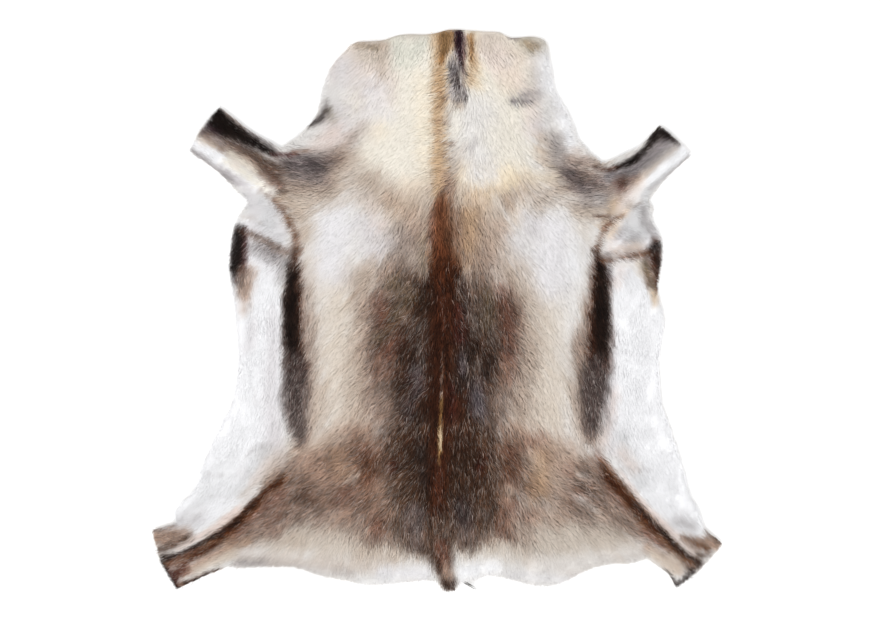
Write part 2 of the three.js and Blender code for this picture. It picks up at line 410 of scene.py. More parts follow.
# colour, strength, softness of the edge in cm, and the stroke's points: x, y and half its width, in cm
markings = [
    # broad fields: flanks, belly, neck, back
    ("pearl", 1.0, 1.0, [(0, 0, 90)]),
    ("white", 1.0, 2.5, [(-40, 14, 6), (-39, 0, 7), (-40, -16, 9), (-46, -32, 11), (-54, -42, 7)]),
    ("white", 1.0, 2.5, [(43, 14, 6), (42, 0, 7), (43, -16, 9), (49, -32, 11), (54, -42, 7)]),
    ("beige", 0.75, 4.0, [(-21, 6, 4), (-22, -10, 3.4), (-20, -26, 4.6)]),
    ("beige", 0.8, 4.0, [(22, 4, 3.6), (23, -10, 3.8), (22, -26, 4.6)]),
    ("ivory", 1.0, 3.0, [(0, 57, 22), (0, 44, 20), (0, 33, 18)]),
    ("pearl", 0.9, 3.5, [(8, 42, 4), (8, 32, 5)]),
    ("greige", 0.95, 4.5, [(1, 19, 13), (1, 10, 12)]),
    ("snow grey", 0.9, 3.0, [(-22.5, 18, 3.5), (-23, 9, 3.5)]),
    ("snow grey", 0.9, 3.0, [(25, 16, 4), (24, 6, 4)]),
    ("beige", 0.6, 3.0, [(-20, 0, 2.0), (-20.6, -12, 2.6)]),
    ("greige", 0.6, 2.6, [(-25, -16, 1.6), (-25.6, -24, 2.0)]),
    ("beige", 0.7, 2.6, [(25.4, -14, 2.0), (25, -22, 2.2)]),
]
# neck
markings += [
    ("blush", 0.65, 3.0, [(-20, 52, 4), (-13, 52, 5), (-12, 44, 3)]),
    ("dove", 0.7, 3.0, [(-17, 54, 2), (-13, 53, 2.4), (-9, 55, 1.4)]),
    ("beige", 0.9, 1.6, [(-10, 58, 1.0), (-2, 58.4, 1.0)]),
    ("lilac grey", 0.5, 2.6, [(-20, 51, 2.6), (-16, 46.6, 3)]),
    ("lilac grey", 0.6, 2.2, [(-21, 41, 3.4), (-20, 36, 3.4), (-16, 40, 2.4)]),
    ("snow grey", 0.6, 2.0, [(-13, 46, 3), (-12, 41, 3)]),
    ("ivory", 0.8, 3.0, [(-5, 49, 2), (-5, 40, 3), (-6, 30, 4)]),
    ("sage", 0.9, 2.0, [(-8, 57, 2), (-8, 52, 2), (-4, 56, 2)]),
    ("cream", 0.45, 2.0, [(-3.6, 48, 1.5), (-3.6, 42, 1.5), (-3, 28, 1.5)]),
    ("ivory", 0.9, 2.5, [(-13, 34, 3.5), (-7, 28, 3)]),
    ("cream", 0.45, 2.0, [(-12.5, 38, 2)]),
    ("peach", 0.35, 2.0, [(-6, 25.5, 2.4)]),
    ("cream", 0.7, 2.5, [(6, 28, 2.4), (14, 28, 2.8)]),
    ("beige", 0.5, 2.5, [(-4, 23.6, 2), (6, 23, 2.4), (12, 24, 2)]),
    ("ivory", 0.7, 2.2, [(7.6, 27.6, 2), (11.4, 27.2, 2)]),
    ("blush", 0.75, 2.5, [(11, 55, 3.5), (17, 50, 4)]),
    ("beige", 0.6, 2.4, [(10.6, 56.4, 2.4), (13.6, 57, 1.4)]),
    ("lilac grey", 0.5, 2.2, [(20.6, 53, 1.8), (21.6, 48, 1.4)]),
    ("cream", 0.3, 2.5, [(17, 53, 3), (15, 47, 2)]),
    ("ivory", 0.7, 3.0, [(14, 35, 4), (18, 32, 3)]),
    ("cream", 0.45, 2.5, [(9, 26, 2), (17, 28, 2)]),
    ("pearl", 0.6, 2.0, [(9, 31, 3)]),
    ("blush", 0.5, 1.5, [(20, 38, 2), (20, 47, 1.5)]),
    ("lilac grey", 0.5, 1.6, [(21.6, 38.4, 1.6)]),
    ("snow grey", 0.7, 2.0, [(25, 52, 2), (27, 42, 2)]),
    ("white", 0.9, 1.5, [(27, 40, 1.5), (29, 32, 1.2)]),
    ("white", 0.8, 1.2, [(-24, 50, 0.8), (-26, 44, 0.8)]),
    # dark smudges by the cut edge of the neck
    ("greige", 0.85, 1.2, [(-17.6, 56, 0.8), (-12, 55.6, 1.4)]),
    ("beige", 0.8, 1.6, [(-16, 53.6, 0.8), (-11.6, 52.6, 1.4), (-11.6, 49, 0.6)]),
    ("olive brown", 0.5, 0.9, [(-14, 55.4, 0.4), (-12.8, 54.8, 0.5)]),
    ("taupe", 0.22, 1.3, [(-12, 53, 0.8), (-12, 48, 0.7)]),
    ("taupe", 0.3, 0.5, [(-17, 46.8, 0.15), (-13, 47, 0.15)]),
    ("taupe", 0.25, 0.4, [(-18, 44.3, 0.15), (-15, 44.6, 0.15)]),
    ("taupe", 0.25, 0.4, [(-17.5, 42, 0.15), (-15.5, 42.3, 0.15)]),
    ("taupe", 0.2, 0.6, [(-20, 48, 0.2), (-16, 45, 0.2)]),
    ("taupe", 0.3, 1.4, [(-16, 38.5, 0.8), (-18.5, 36, 0.8)]),
    ("dove", 0.5, 2.2, [(-15, 37, 1.8)]),
    ("soot", 0.9, 0.9, [(-23.4, 44, 0.3), (-23.8, 42, 0.8), (-24.8, 40.4, 0.6), (-27, 39, 0.3)]),
    ("olive brown", 0.5, 1.2, [(-22.8, 42, 0.8), (-22.4, 40, 0.5)]),
    ("olive brown", 0.5, 1.6, [(18.6, 56.4, 1.2), (22, 56.2, 1.0), (19.6, 54.4, 0.7)]),
    ("olive brown", 0.35, 0.9, [(19.6, 55.4, 0.8)]),
    ("slate", 0.6, 0.5, [(15, 57.5, 0.2), (16.8, 57.2, 0.2)]),
    ("ash", 0.6, 1.0, [(16, 43.8, 0.6), (19, 44.2, 0.5), (21.6, 45.2, 0.3)]),
    ("slate", 0.7, 0.5, [(16.2, 43.5, 0.3), (19.4, 43.6, 0.3)]),
    ("slate blue", 0.4, 0.4, [(17.6, 44.8, 0.2), (19.2, 45.6, 0.15)]),
    ("slate blue", 0.4, 0.35, [(18.6, 45, 0.1), (22, 46, 0.1)]),
    ("slate blue", 0.4, 0.35, [(18.6, 44, 0.1), (21.6, 44.3, 0.1)]),
    ("ash", 0.4, 1.0, [(7.8, 35.5, 0.3), (7, 33, 0.5)]),
    ("ash", 0.5, 0.4, [(8.2, 36, 0.2), (7.4, 34.4, 0.2)]),
    ("ash", 0.4, 0.4, [(6, 34, 0.15), (7.6, 34.2, 0.15)]),
    ("ash", 0.25, 0.5, [(20, 39.8, 0.2)]),
    # tan stripe down the crest, with the darker tufts beside it
    ("tan", 0.7, 1.2, [(0.2, 58, 1.7), (0.1, 46, 1.6), (0, 38, 1.5), (0.3, 30, 1.4), (0.6, 24, 1.5)]),
    ("tan", 0.6, 0.8, [(-0.6, 50, 0.5), (-0.4, 38, 0.5), (-0.4, 24, 0.8)]),
    ("ochre", 0.9, 1.1, [(2.0, 58, 1.7), (1.6, 55, 1.5), (0.8, 52.5, 0.9)]),
    ("ochre", 0.4, 0.8, [(0.6, 52, 0.8), (0.5, 47, 0.7), (0.4, 43, 0.5)]),
    ("greige", 0.8, 1.0, [(3.6, 52, 1.5), (3.8, 46, 1.9), (4.2, 43.5, 1.6)]),
    ("ash", 0.7, 0.8, [(3.4, 51, 1.3), (4.2, 45, 1.5)]),
    ("ash", 0.35, 1.0, [(2, 42, 0.7), (2.2, 38, 0.7), (2.6, 33, 0.6), (3.4, 29, 0.6)]),
    ("slate", 0.5, 0.8, [(3.4, 50.6, 1.0), (3.8, 47, 0.9)]),
    ("soot", 0.7, 0.4, [(2, 51.2, 0.15), (4, 49.6, 0.2)]),
    ("soot", 0.7, 0.4, [(2.2, 49.4, 0.2), (4.4, 48, 0.3)]),
    ("soot", 0.8, 0.5, [(4.2, 49.4, 0.4), (4.2, 47, 0.5)]),
    ("soot", 0.6, 0.4, [(2.6, 47.6, 0.15), (4.4, 46.2, 0.15)]),
    ("soot", 0.55, 0.4, [(4.4, 45.4, 0.15), (6.2, 46.6, 0.1)]),
    ("soot", 0.6, 0.4, [(3.2, 43.6, 0.2), (6.2, 44, 0.15)]),
    ("purple black", 0.95, 0.8, [(4.6, 58.8, 0.8), (4.7, 54, 0.9), (5.2, 51.5, 0.6), (5.7, 49.5, 0.3)]),
    ("maroon", 0.6, 0.6, [(5.8, 57.5, 0.5), (5.9, 53, 0.4)]),
    ("purple black", 0.5, 0.4, [(5.4, 50, 0.2), (6, 45.6, 0.15)]),
    ("tan", 0.75, 1.2, [(7.2, 58, 1.0), (7.6, 52, 1.1), (8, 48, 0.9)]),
    ("ochre", 0.75, 0.8, [(6.9, 57.6, 0.6), (7.1, 53.6, 0.5)]),
    ("cream", 0.6, 1.3, [(9, 51, 1.0), (8.8, 46.6, 1.2)]),
    ("walnut", 0.75, 0.4, [(-0.6, 39.8, 0.2), (2.2, 38.8, 0.15)]),
    ("walnut", 0.75, 0.4, [(-0.7, 37.5, 0.2), (1.8, 36.9, 0.15)]),
    ("walnut", 0.75, 0.4, [(-0.4, 35.4, 0.15), (3.2, 34.7, 0.2)]),
    ("walnut", 0.6, 0.4, [(0.4, 33, 0.15), (2.4, 31.2, 0.15)]),
    ("walnut", 0.7, 0.4, [(-1, 45.6, 0.12), (1.4, 44.2, 0.2)]),
    ("walnut", 0.5, 0.4, [(-0.4, 42.6, 0.12), (1.4, 42, 0.12)]),
    ("walnut", 0.5, 0.4, [(0, 26.6, 0.12), (2.4, 26, 0.12)]),
    ("walnut", 0.45, 0.4, [(0, 29.6, 0.1), (1.8, 28.8, 0.1)]),
    ("rump rose", 0.7, 1.2, [(1.6, 28, 1.1), (2, 25, 1.6)]),
    ("snow grey", 0.55, 2.2, [(-20.6, 52.6, 1.6), (-20.4, 47.4, 1.8)]),
    ("dove", 0.4, 2.0, [(-10, 48.4, 1.4), (-9.6, 44, 1.0)]),
    ("dove", 0.35, 1.6, [(-8, 58, 1.0), (-4, 58, 1.0)]),
    ("olive brown", 0.3, 0.8, [(-16.6, 55.4, 0.5), (-13, 55.2, 0.7)]),
    ("taupe", 0.3, 0.5, [(-15.6, 47.4, 0.15), (-12.6, 46.2, 0.15)]),
    ("slate blue", 0.35, 0.35, [(-14.4, 46.6, 0.1), (-12.4, 45.4, 0.1)]),
    ("white", 0.7, 1.6, [(25.6, 48, 1.4), (26.4, 44, 1.4)]),
    ("slate", 0.5, 0.6, [(2.6, 51.4, 0.5), (2.4, 48, 0.5)]),
    ("lilac grey", 0.5, 0.7, [(2.4, 46.6, 0.5), (3, 44.6, 0.5)]),
    ("soot", 0.7, 0.3, [(1.8, 50.6, 0.1), (3.6, 49.4, 0.12)]),
    ("soot", 0.7, 0.3, [(1.8, 48.6, 0.1), (3.8, 48.4, 0.12)]),
    ("soot", 0.7, 0.3, [(5, 50.8, 0.12), (5.6, 48.2, 0.1)]),
    ("soot", 0.6, 0.3, [(4, 46, 0.1), (6, 45, 0.1)]),
    ("soot", 0.6, 0.3, [(3, 52.6, 0.1), (4.4, 51, 0.1)]),
    ("slate blue", 0.55, 0.35, [(15.6, 43.6, 0.15), (18.4, 44.8, 0.2), (22, 46.6, 0.12)]),
    ("slate blue", 0.5, 0.3, [(16.4, 43, 0.12), (20, 43.8, 0.12)]),
    ("slate blue", 0.45, 0.3, [(17.4, 45.2, 0.12), (20, 46.6, 0.1)]),
    ("ochre", 0.25, 1.0, [(19, 56, 0.8), (21.4, 55.8, 0.6)]),
    ("apricot", 0.4, 1.4, [(6.4, 23.6, 0.8), (10.4, 24.8, 1.0), (14, 26, 0.8), (18, 27.4, 0.8)]),
    ("rump tan", 0.3, 1.8, [(16, 24.4, 1.2), (20.6, 26, 1.2)]),
    ("ivory", 0.5, 1.8, [(14.6, 31.8, 1.4), (19.6, 32.6, 1.4)]),
    ("snow grey", 0.4, 1.6, [(24, 47, 1.2), (21.4, 47.6, 0.8)]),
    ("pearl", 0.35, 1.4, [(20.4, 57.2, 1.0), (23, 56, 0.6)]),
    ("ivory", 0.4, 1.4, [(9.6, 28, 1.2)]),
    ("snow grey", 0.3, 1.4, [(15, 52, 1.2)]),
    ("peach", 0.3, 1.0, [(5.8, 52, 0.6)]),
    ("olive brown", 0.3, 0.9, [(1.6, 57.8, 1.1), (1.4, 54.8, 0.9)]),
    ("ochre", 0.8, 0.5, [(7, 57, 0.4), (7.1, 54.6, 0.45), (7.2, 52.4, 0.3)]),
    ("walnut", 0.4, 0.4, [(7, 55.8, 0.2), (7.1, 54, 0.2)]),
    ("purple black", 0.8, 0.5, [(4.4, 58.4, 0.9), (4.5, 56.6, 0.8)]),
    ("maroon", 0.4, 0.5, [(5.6, 56, 0.4), (5.7, 53, 0.3)]),
    ("ash", 0.35, 0.7, [(3.4, 50.4, 1.0)]),
    ("ash", 0.45, 0.7, [(5, 45.8, 1.0), (5.6, 44, 0.6)]),
    ("blush", 0.4, 0.6, [(2, 50, 0.3)]),
    ("purple black", 0.8, 0.3, [(4.2, 48, 0.2), (4.6, 46.8, 0.3)]),
    ("soot", 0.7, 0.3, [(3.6, 43.9, 0.12), (6, 44, 0.2)]),
    # pale hairs parting the dark tuft like a feather
    ("snow grey", 0.75, 0.25, [(3.7, 53.8, 0.12), (4.4, 52.2, 0.14), (5.1, 50.4, 0.1)]),
    ("snow grey", 0.7, 0.25, [(2.8, 53.2, 0.1), (3.8, 51.6, 0.14), (4.7, 49.6, 0.1)]),
    ("snow grey", 0.65, 0.25, [(2.0, 52.4, 0.1), (3.1, 51.0, 0.12), (4.0, 49.4, 0.1)]),
    ("snow grey", 0.6, 0.25, [(1.7, 50.8, 0.1), (2.6, 49.4, 0.12), (3.6, 48.4, 0.1)]),
    ("snow grey", 0.65, 0.25, [(4.6, 48.8, 0.1), (5.2, 47.0, 0.14), (5.4, 45.6, 0.1)]),
    ("snow grey", 0.6, 0.25, [(3.6, 46.8, 0.1), (4.8, 45.6, 0.12), (6, 45.4, 0.1)]),
    ("snow grey", 0.65, 0.25, [(3.4, 45.4, 0.1), (5, 44.7, 0.12), (6.2, 44.9, 0.1)]),
    ("snow grey", 0.6, 0.25, [(3.2, 44.2, 0.1), (4.6, 43.5, 0.12), (6.4, 43.6, 0.1)]),
    ("soot", 0.6, 0.3, [(2.4, 53.0, 0.1), (3.4, 51.8, 0.14), (4.4, 50.0, 0.12)]),
    ("soot", 0.6, 0.3, [(1.8, 51.8, 0.1), (2.8, 50.2, 0.12), (3.8, 48.8, 0.12)]),
    ("soot", 0.6, 0.3, [(5.2, 51.6, 0.14), (5.8, 50.6, 0.2)]),
    ("black", 0.8, 0.3, [(4.3, 47.6, 0.25), (4.5, 47.0, 0.25)]),
    ("soot", 0.5, 0.3, [(3.4, 46.0, 0.1), (4.8, 45.1, 0.12), (6.2, 44.6, 0.2)]),
]
# upper back
markings += [
    ("taupe", 0.5, 2.5, [(-15, 27, 2.0), (-11, 24.5, 2.0)]),
    ("greige", 0.6, 3.0, [(-19, 30, 3), (-14, 26, 3)]),
    ("snow grey", 0.4, 2.5, [(-20, 19, 3)]),
    ("dove", 0.7, 2.2, [(-17, 24, 1.8), (-13.4, 22, 1.8)]),
    ("rump rose", 0.4, 2.0, [(-10, 22.4, 1.6)]),
    ("lilac grey", 0.6, 2.4, [(20, 17, 2)]),
    ("lilac grey", 0.6, 2.4, [(-19, 7, 1.6)]),
    ("lilac grey", 0.55, 3.0, [(-14, 17, 3.5), (-13, 10, 3)]),
    ("beige", 0.6, 2.6, [(-8, 23, 2.4), (-6, 20, 2.2)]),
    ("taupe", 0.4, 2.0, [(-4, 20, 1.0), (-4.4, 13, 1.8)]),
    ("rump rose", 0.55, 2.2, [(-6.4, 19.6, 1.2), (-5, 16, 1.6)]),
    ("ash", 0.45, 2.5, [(-8, 15, 2.5), (-7, 10, 2.5)]),
    ("beige", 0.4, 2.5, [(-9, 9, 2.5), (-5, 11, 1)]),
    ("fawn", 0.5, 2.2, [(7.4, 20, 2.0), (7.6, 15, 2.2), (6.6, 10, 1.6)]),
    ("peach", 0.6, 1.6, [(7.4, 23.4, 1.0), (9.6, 22, 1.2)]),
    ("beige", 0.6, 2.4, [(12, 19, 2.2), (12, 14, 2.2)]),
    ("tan", 0.35, 1.8, [(8, 20, 1.2), (6.5, 13, 1.6)]),
    ("taupe", 0.3, 2.0, [(8, 21, 1.0), (9.4, 17.5, 1.4)]),
    ("taupe", 0.45, 2.2, [(18.6, 26.4, 1.8), (14.5, 22.6, 1.6)]),
    ("cream", 0.5, 2.2, [(14.6, 27.4, 2)]),
    ("rump rose", 0.5, 2.5, [(13, 17, 2.5), (11, 10, 2)]),
    ("lilac grey", 0.4, 3.0, [(17, 14, 2.5), (16, 8, 2)]),
    ("taupe", 0.35, 2.5, [(-7, 14, 2.5), (-7, 8, 3)]),
    ("taupe", 0.45, 2.5, [(6, 17, 1.5), (9, 10, 3), (14, 7, 2)]),
    ("taupe", 0.4, 2.5, [(-16, 5, 2), (-11, 8, 2)]),
    ("taupe", 0.6, 2.2, [(1, 19, 2.8), (1, 12, 3.6)]),
    ("rump", 0.6, 1.6, [(1.8, 26, 0.7), (1.4, 22.6, 2.2)]),
    ("hazel", 0.95, 1.8, [(1.2, 22, 1.6), (1.2, 18, 2.5), (1.2, 14, 2.4), (1.2, 9, 2.6)]),
    ("hazel", 0.45, 1.8, [(4.6, 20, 1.2), (4.8, 15, 1.6), (4.4, 9, 1.6)]),
    ("walnut", 0.75, 1.6, [(1.6, 17, 0.9), (1.2, 12, 2.0), (1.2, 8, 2.6)]),
    ("russet", 0.7, 0.9, [(-1.2, 20, 0.5), (-1.2, 14, 0.6)]),
    ("olive brown", 0.35, 1.2, [(-3.2, 15, 0.8), (-3, 9, 0.9)]),
    ("chestnut", 0.75, 1.6, [(1, 13, 0.9), (1.4, 7, 2.9)]),
    ("rust", 0.65, 1.5, [(0.4, 22, 0.8), (0.2, 17, 1.6), (0.2, 11, 1.8)]),
    ("rump tan", 0.35, 2.2, [(-12, 22.6, 1.6), (-6, 21.4, 1.6)]),
    ("dove", 0.5, 2.0, [(-26, 22.4, 1.4), (-22, 23.6, 1.0)]),
    ("blush", 0.4, 2.0, [(-14, 21.4, 1.2), (-13.4, 18, 1.0)]),
    ("lilac grey", 0.35, 2.2, [(-15, 17, 1.6)]),
    ("rump tan", 0.3, 1.6, [(15, 22, 1.2)]),
    ("greige", 0.5, 1.8, [(15, 12, 1.4)]),
    ("blush", 0.5, 1.4, [(-12, 18, 1.4)]),
    ("lilac grey", 0.4, 1.2, [(-10, 14, 1.0), (-13.6, 12, 1.0)]),
    ("lilac grey", 0.5, 1.2, [(18.4, 19.8, 1.2), (21, 19.2, 0.8)]),
    ("apricot", 0.35, 1.4, [(6.4, 20, 1.4), (6.4, 13.4, 1.2)]),
    ("rust", 0.3, 1.2, [(0.6, 8, 1.6), (1, 3, 1.6)]),
    ("peach", 0.3, 1.8, [(18, 24, 1.6), (16, 18, 1.2)]),
]
# saddle
markings += [
    ("greige", 0.85, 3.0, [(-15, 7, 3.2), (-16, -6, 2.6), (-16.4, -16, 3.0), (-16, -25, 3.6)]),
    ("greige", 0.85, 3.0, [(16, 8, 2.6), (17.6, 0, 3), (18.4, -8, 3.2), (17.4, -18, 2.6), (17, -27, 3)]),
    ("taupe", 0.35, 2.5, [(16, 2, 2), (18, -10, 2.4), (16.5, -20, 2.4)]),
    ("rump rose", 0.35, 2.4, [(-15.4, 2, 1.6), (-15, -8, 1.6), (-13.6, -20, 2)]),
    ("taupe", 0.85, 2.5, [(-9, 7, 3), (-12.4, 0, 3.7), (-12.4, -8, 3), (-11.5, -16, 3), (-10, -22, 4)]),
    ("taupe", 0.8, 2.5, [(9, 6, 1.8), (14.5, 0, 3), (15, -9, 2.4), (13, -16, 2.6), (11, -24, 3)]),
    ("dark taupe", 0.9, 2.5, [(-5, 4.5, 4), (-9.5, -2, 4.5), (-9.5, -11, 4), (-7, -18, 4.5),
      (-5, -28, 6)]),
    ("dark taupe", 0.9, 2.5, [(7, 3.4, 3.0), (12, -1, 4.2), (12, -11, 3.6), (9, -18, 4), (7, -28, 6)]),
    ("dark saddle", 0.85, 2.5, [(1, 6, 3), (0, 0, 7), (0.5, -8, 9), (1, -16, 9), (1, -26, 8),
      (1, -32, 7)]),
    ("dark taupe", 0.75, 2.2, [(9.6, -2, 2.4), (10.6, -8, 2.2), (10.4, -16, 2)]),
    ("olive brown", 0.45, 1.8, [(-9, 5, 2), (-6, 3, 1.5), (-12.5, -5.5, 1.0)]),
    ("taupe", 0.4, 1.5, [(-6, 4, 1.5), (-9, 3, 1.5)]),
    ("taupe", 0.35, 1.2, [(-8, 0, 1.2), (-5, -3, 1.0)]),
    ("russet", 0.65, 1.8, [(-12.4, 2, 1.0), (-12, -3, 1.2)]),
    ("dark taupe", 0.6, 1.5, [(-8, -3.4, 1.4)]),
    ("russet", 0.6, 2.0, [(-8.6, -6.6, 1.2), (-11, -10, 1.8), (-11.6, -13, 1.4)]),
    ("rump rose", 0.45, 1.4, [(-12, -11, 1.0), (-11.6, -14, 0.8)]),
    ("dark saddle", 0.5, 1.5, [(-7, -9, 1.6), (-6, -12, 1.2)]),
    ("slate", 0.65, 1.5, [(-4.5, -13, 1.6), (-4, -16.5, 1.6)]),
    ("dark saddle", 0.6, 1.4, [(-8.5, -15.6, 1.2), (-9.4, -18, 0.8)]),
    ("slate", 0.45, 1.6, [(-6.4, -20, 1.8), (-6, -23, 1.2)]),
    ("taupe", 0.6, 2.0, [(-12.6, -17, 2.0), (-12.4, -22, 2.4)]),
    ("soot", 0.4, 1.8, [(-6, -26, 1.5), (-4, -29, 1.5)]),
    ("russet", 0.6, 1.8, [(13.6, 4, 1.3), (15.4, -2, 1.6), (15.2, -9, 1.5), (14.6, -14, 1.3)]),
    ("olive brown", 0.45, 1.5, [(10.5, 3, 1.2), (10.6, -3, 1.1)]),
    ("taupe", 0.2, 1.4, [(7, 4, 1.4), (8, 0, 1.2)]),
    ("dark saddle", 0.5, 1.6, [(5.4, 5, 1.2), (6, 0, 1.2)]),
    ("dark saddle", 0.7, 1.6, [(8.6, -8, 1.6), (11, -12, 1.8)]),
    ("soot", 0.5, 1.5, [(11.6, -11, 1.2), (9.6, -14, 1.2)]),
    ("slate", 0.6, 1.5, [(8, -16, 1.8), (9, -22, 2)]),
    ("slate blue", 0.5, 1.2, [(8.5, -18, 1.2), (9.2, -21, 1.0)]),
    ("slate blue", 0.35, 1.2, [(9.5, -25, 1.2)]),
    ("rump rose", 0.5, 1.5, [(14.8, -12, 1.1), (13.8, -16, 1.2)]),
    ("taupe", 0.45, 1.5, [(11.8, -20, 1.2), (12, -24, 1.0)]),
    ("maroon", 0.7, 1.2, [(4.3, 0, 1.2), (4.4, -6, 1.4)]),
    ("black", 0.45, 1.3, [(5.5, -9, 1.5), (5, -15, 1.6)]),
    ("slate blue", 0.5, 0.8, [(4.8, -10, 0.8), (5.2, -13, 0.8)]),
    ("chestnut", 0.92, 2.1, [(1, 8, 2.0), (1, 0, 2.7), (0.8, -10, 2.9), (0.4, -20, 3.2),
      (0.4, -28, 3.2), (0.4, -33, 2.6)]),
    ("black", 0.3, 1.5, [(-2, -22, 1), (-2, -32, 1.2)]),
    ("black", 0.3, 1.5, [(3.4, -24, 1), (4, -32, 1.2)]),
    ("chestnut", 0.45, 1.2, [(5, -1.4, 1.0), (5.2, -4, 1.0)]),
    ("chestnut", 0.5, 1.3, [(4.8, -17, 0.9), (4.8, -23, 1.0), (5, -29, 1.1)]),
    ("dark taupe", 0.35, 1.4, [(5.4, 7, 1.0), (9.6, 6.8, 1.0)]),
    ("dark taupe", 0.35, 1.4, [(15, -13, 1.2)]),
    ("dark taupe", 0.25, 1.4, [(-10, -3, 1.0)]),
    ("taupe", 0.35, 1.6, [(-15, -3, 1.2)]),
    ("taupe", 0.4, 1.6, [(-15, -18, 1.0), (-15, -23, 1.2)]),
    ("taupe", 0.3, 1.4, [(-10.4, -18, 1.2), (-10.6, -23.6, 1.2)]),
    ("taupe", 0.3, 1.4, [(10.6, -24, 1.0), (10.4, -28, 1.0)]),
    ("maroon", 0.4, 0.9, [(3, -16, 0.9), (3.4, -28, 0.8)]),
    ("russet", 0.3, 0.8, [(0.6, 6, 0.8), (1.4, -4, 0.6)]),
]
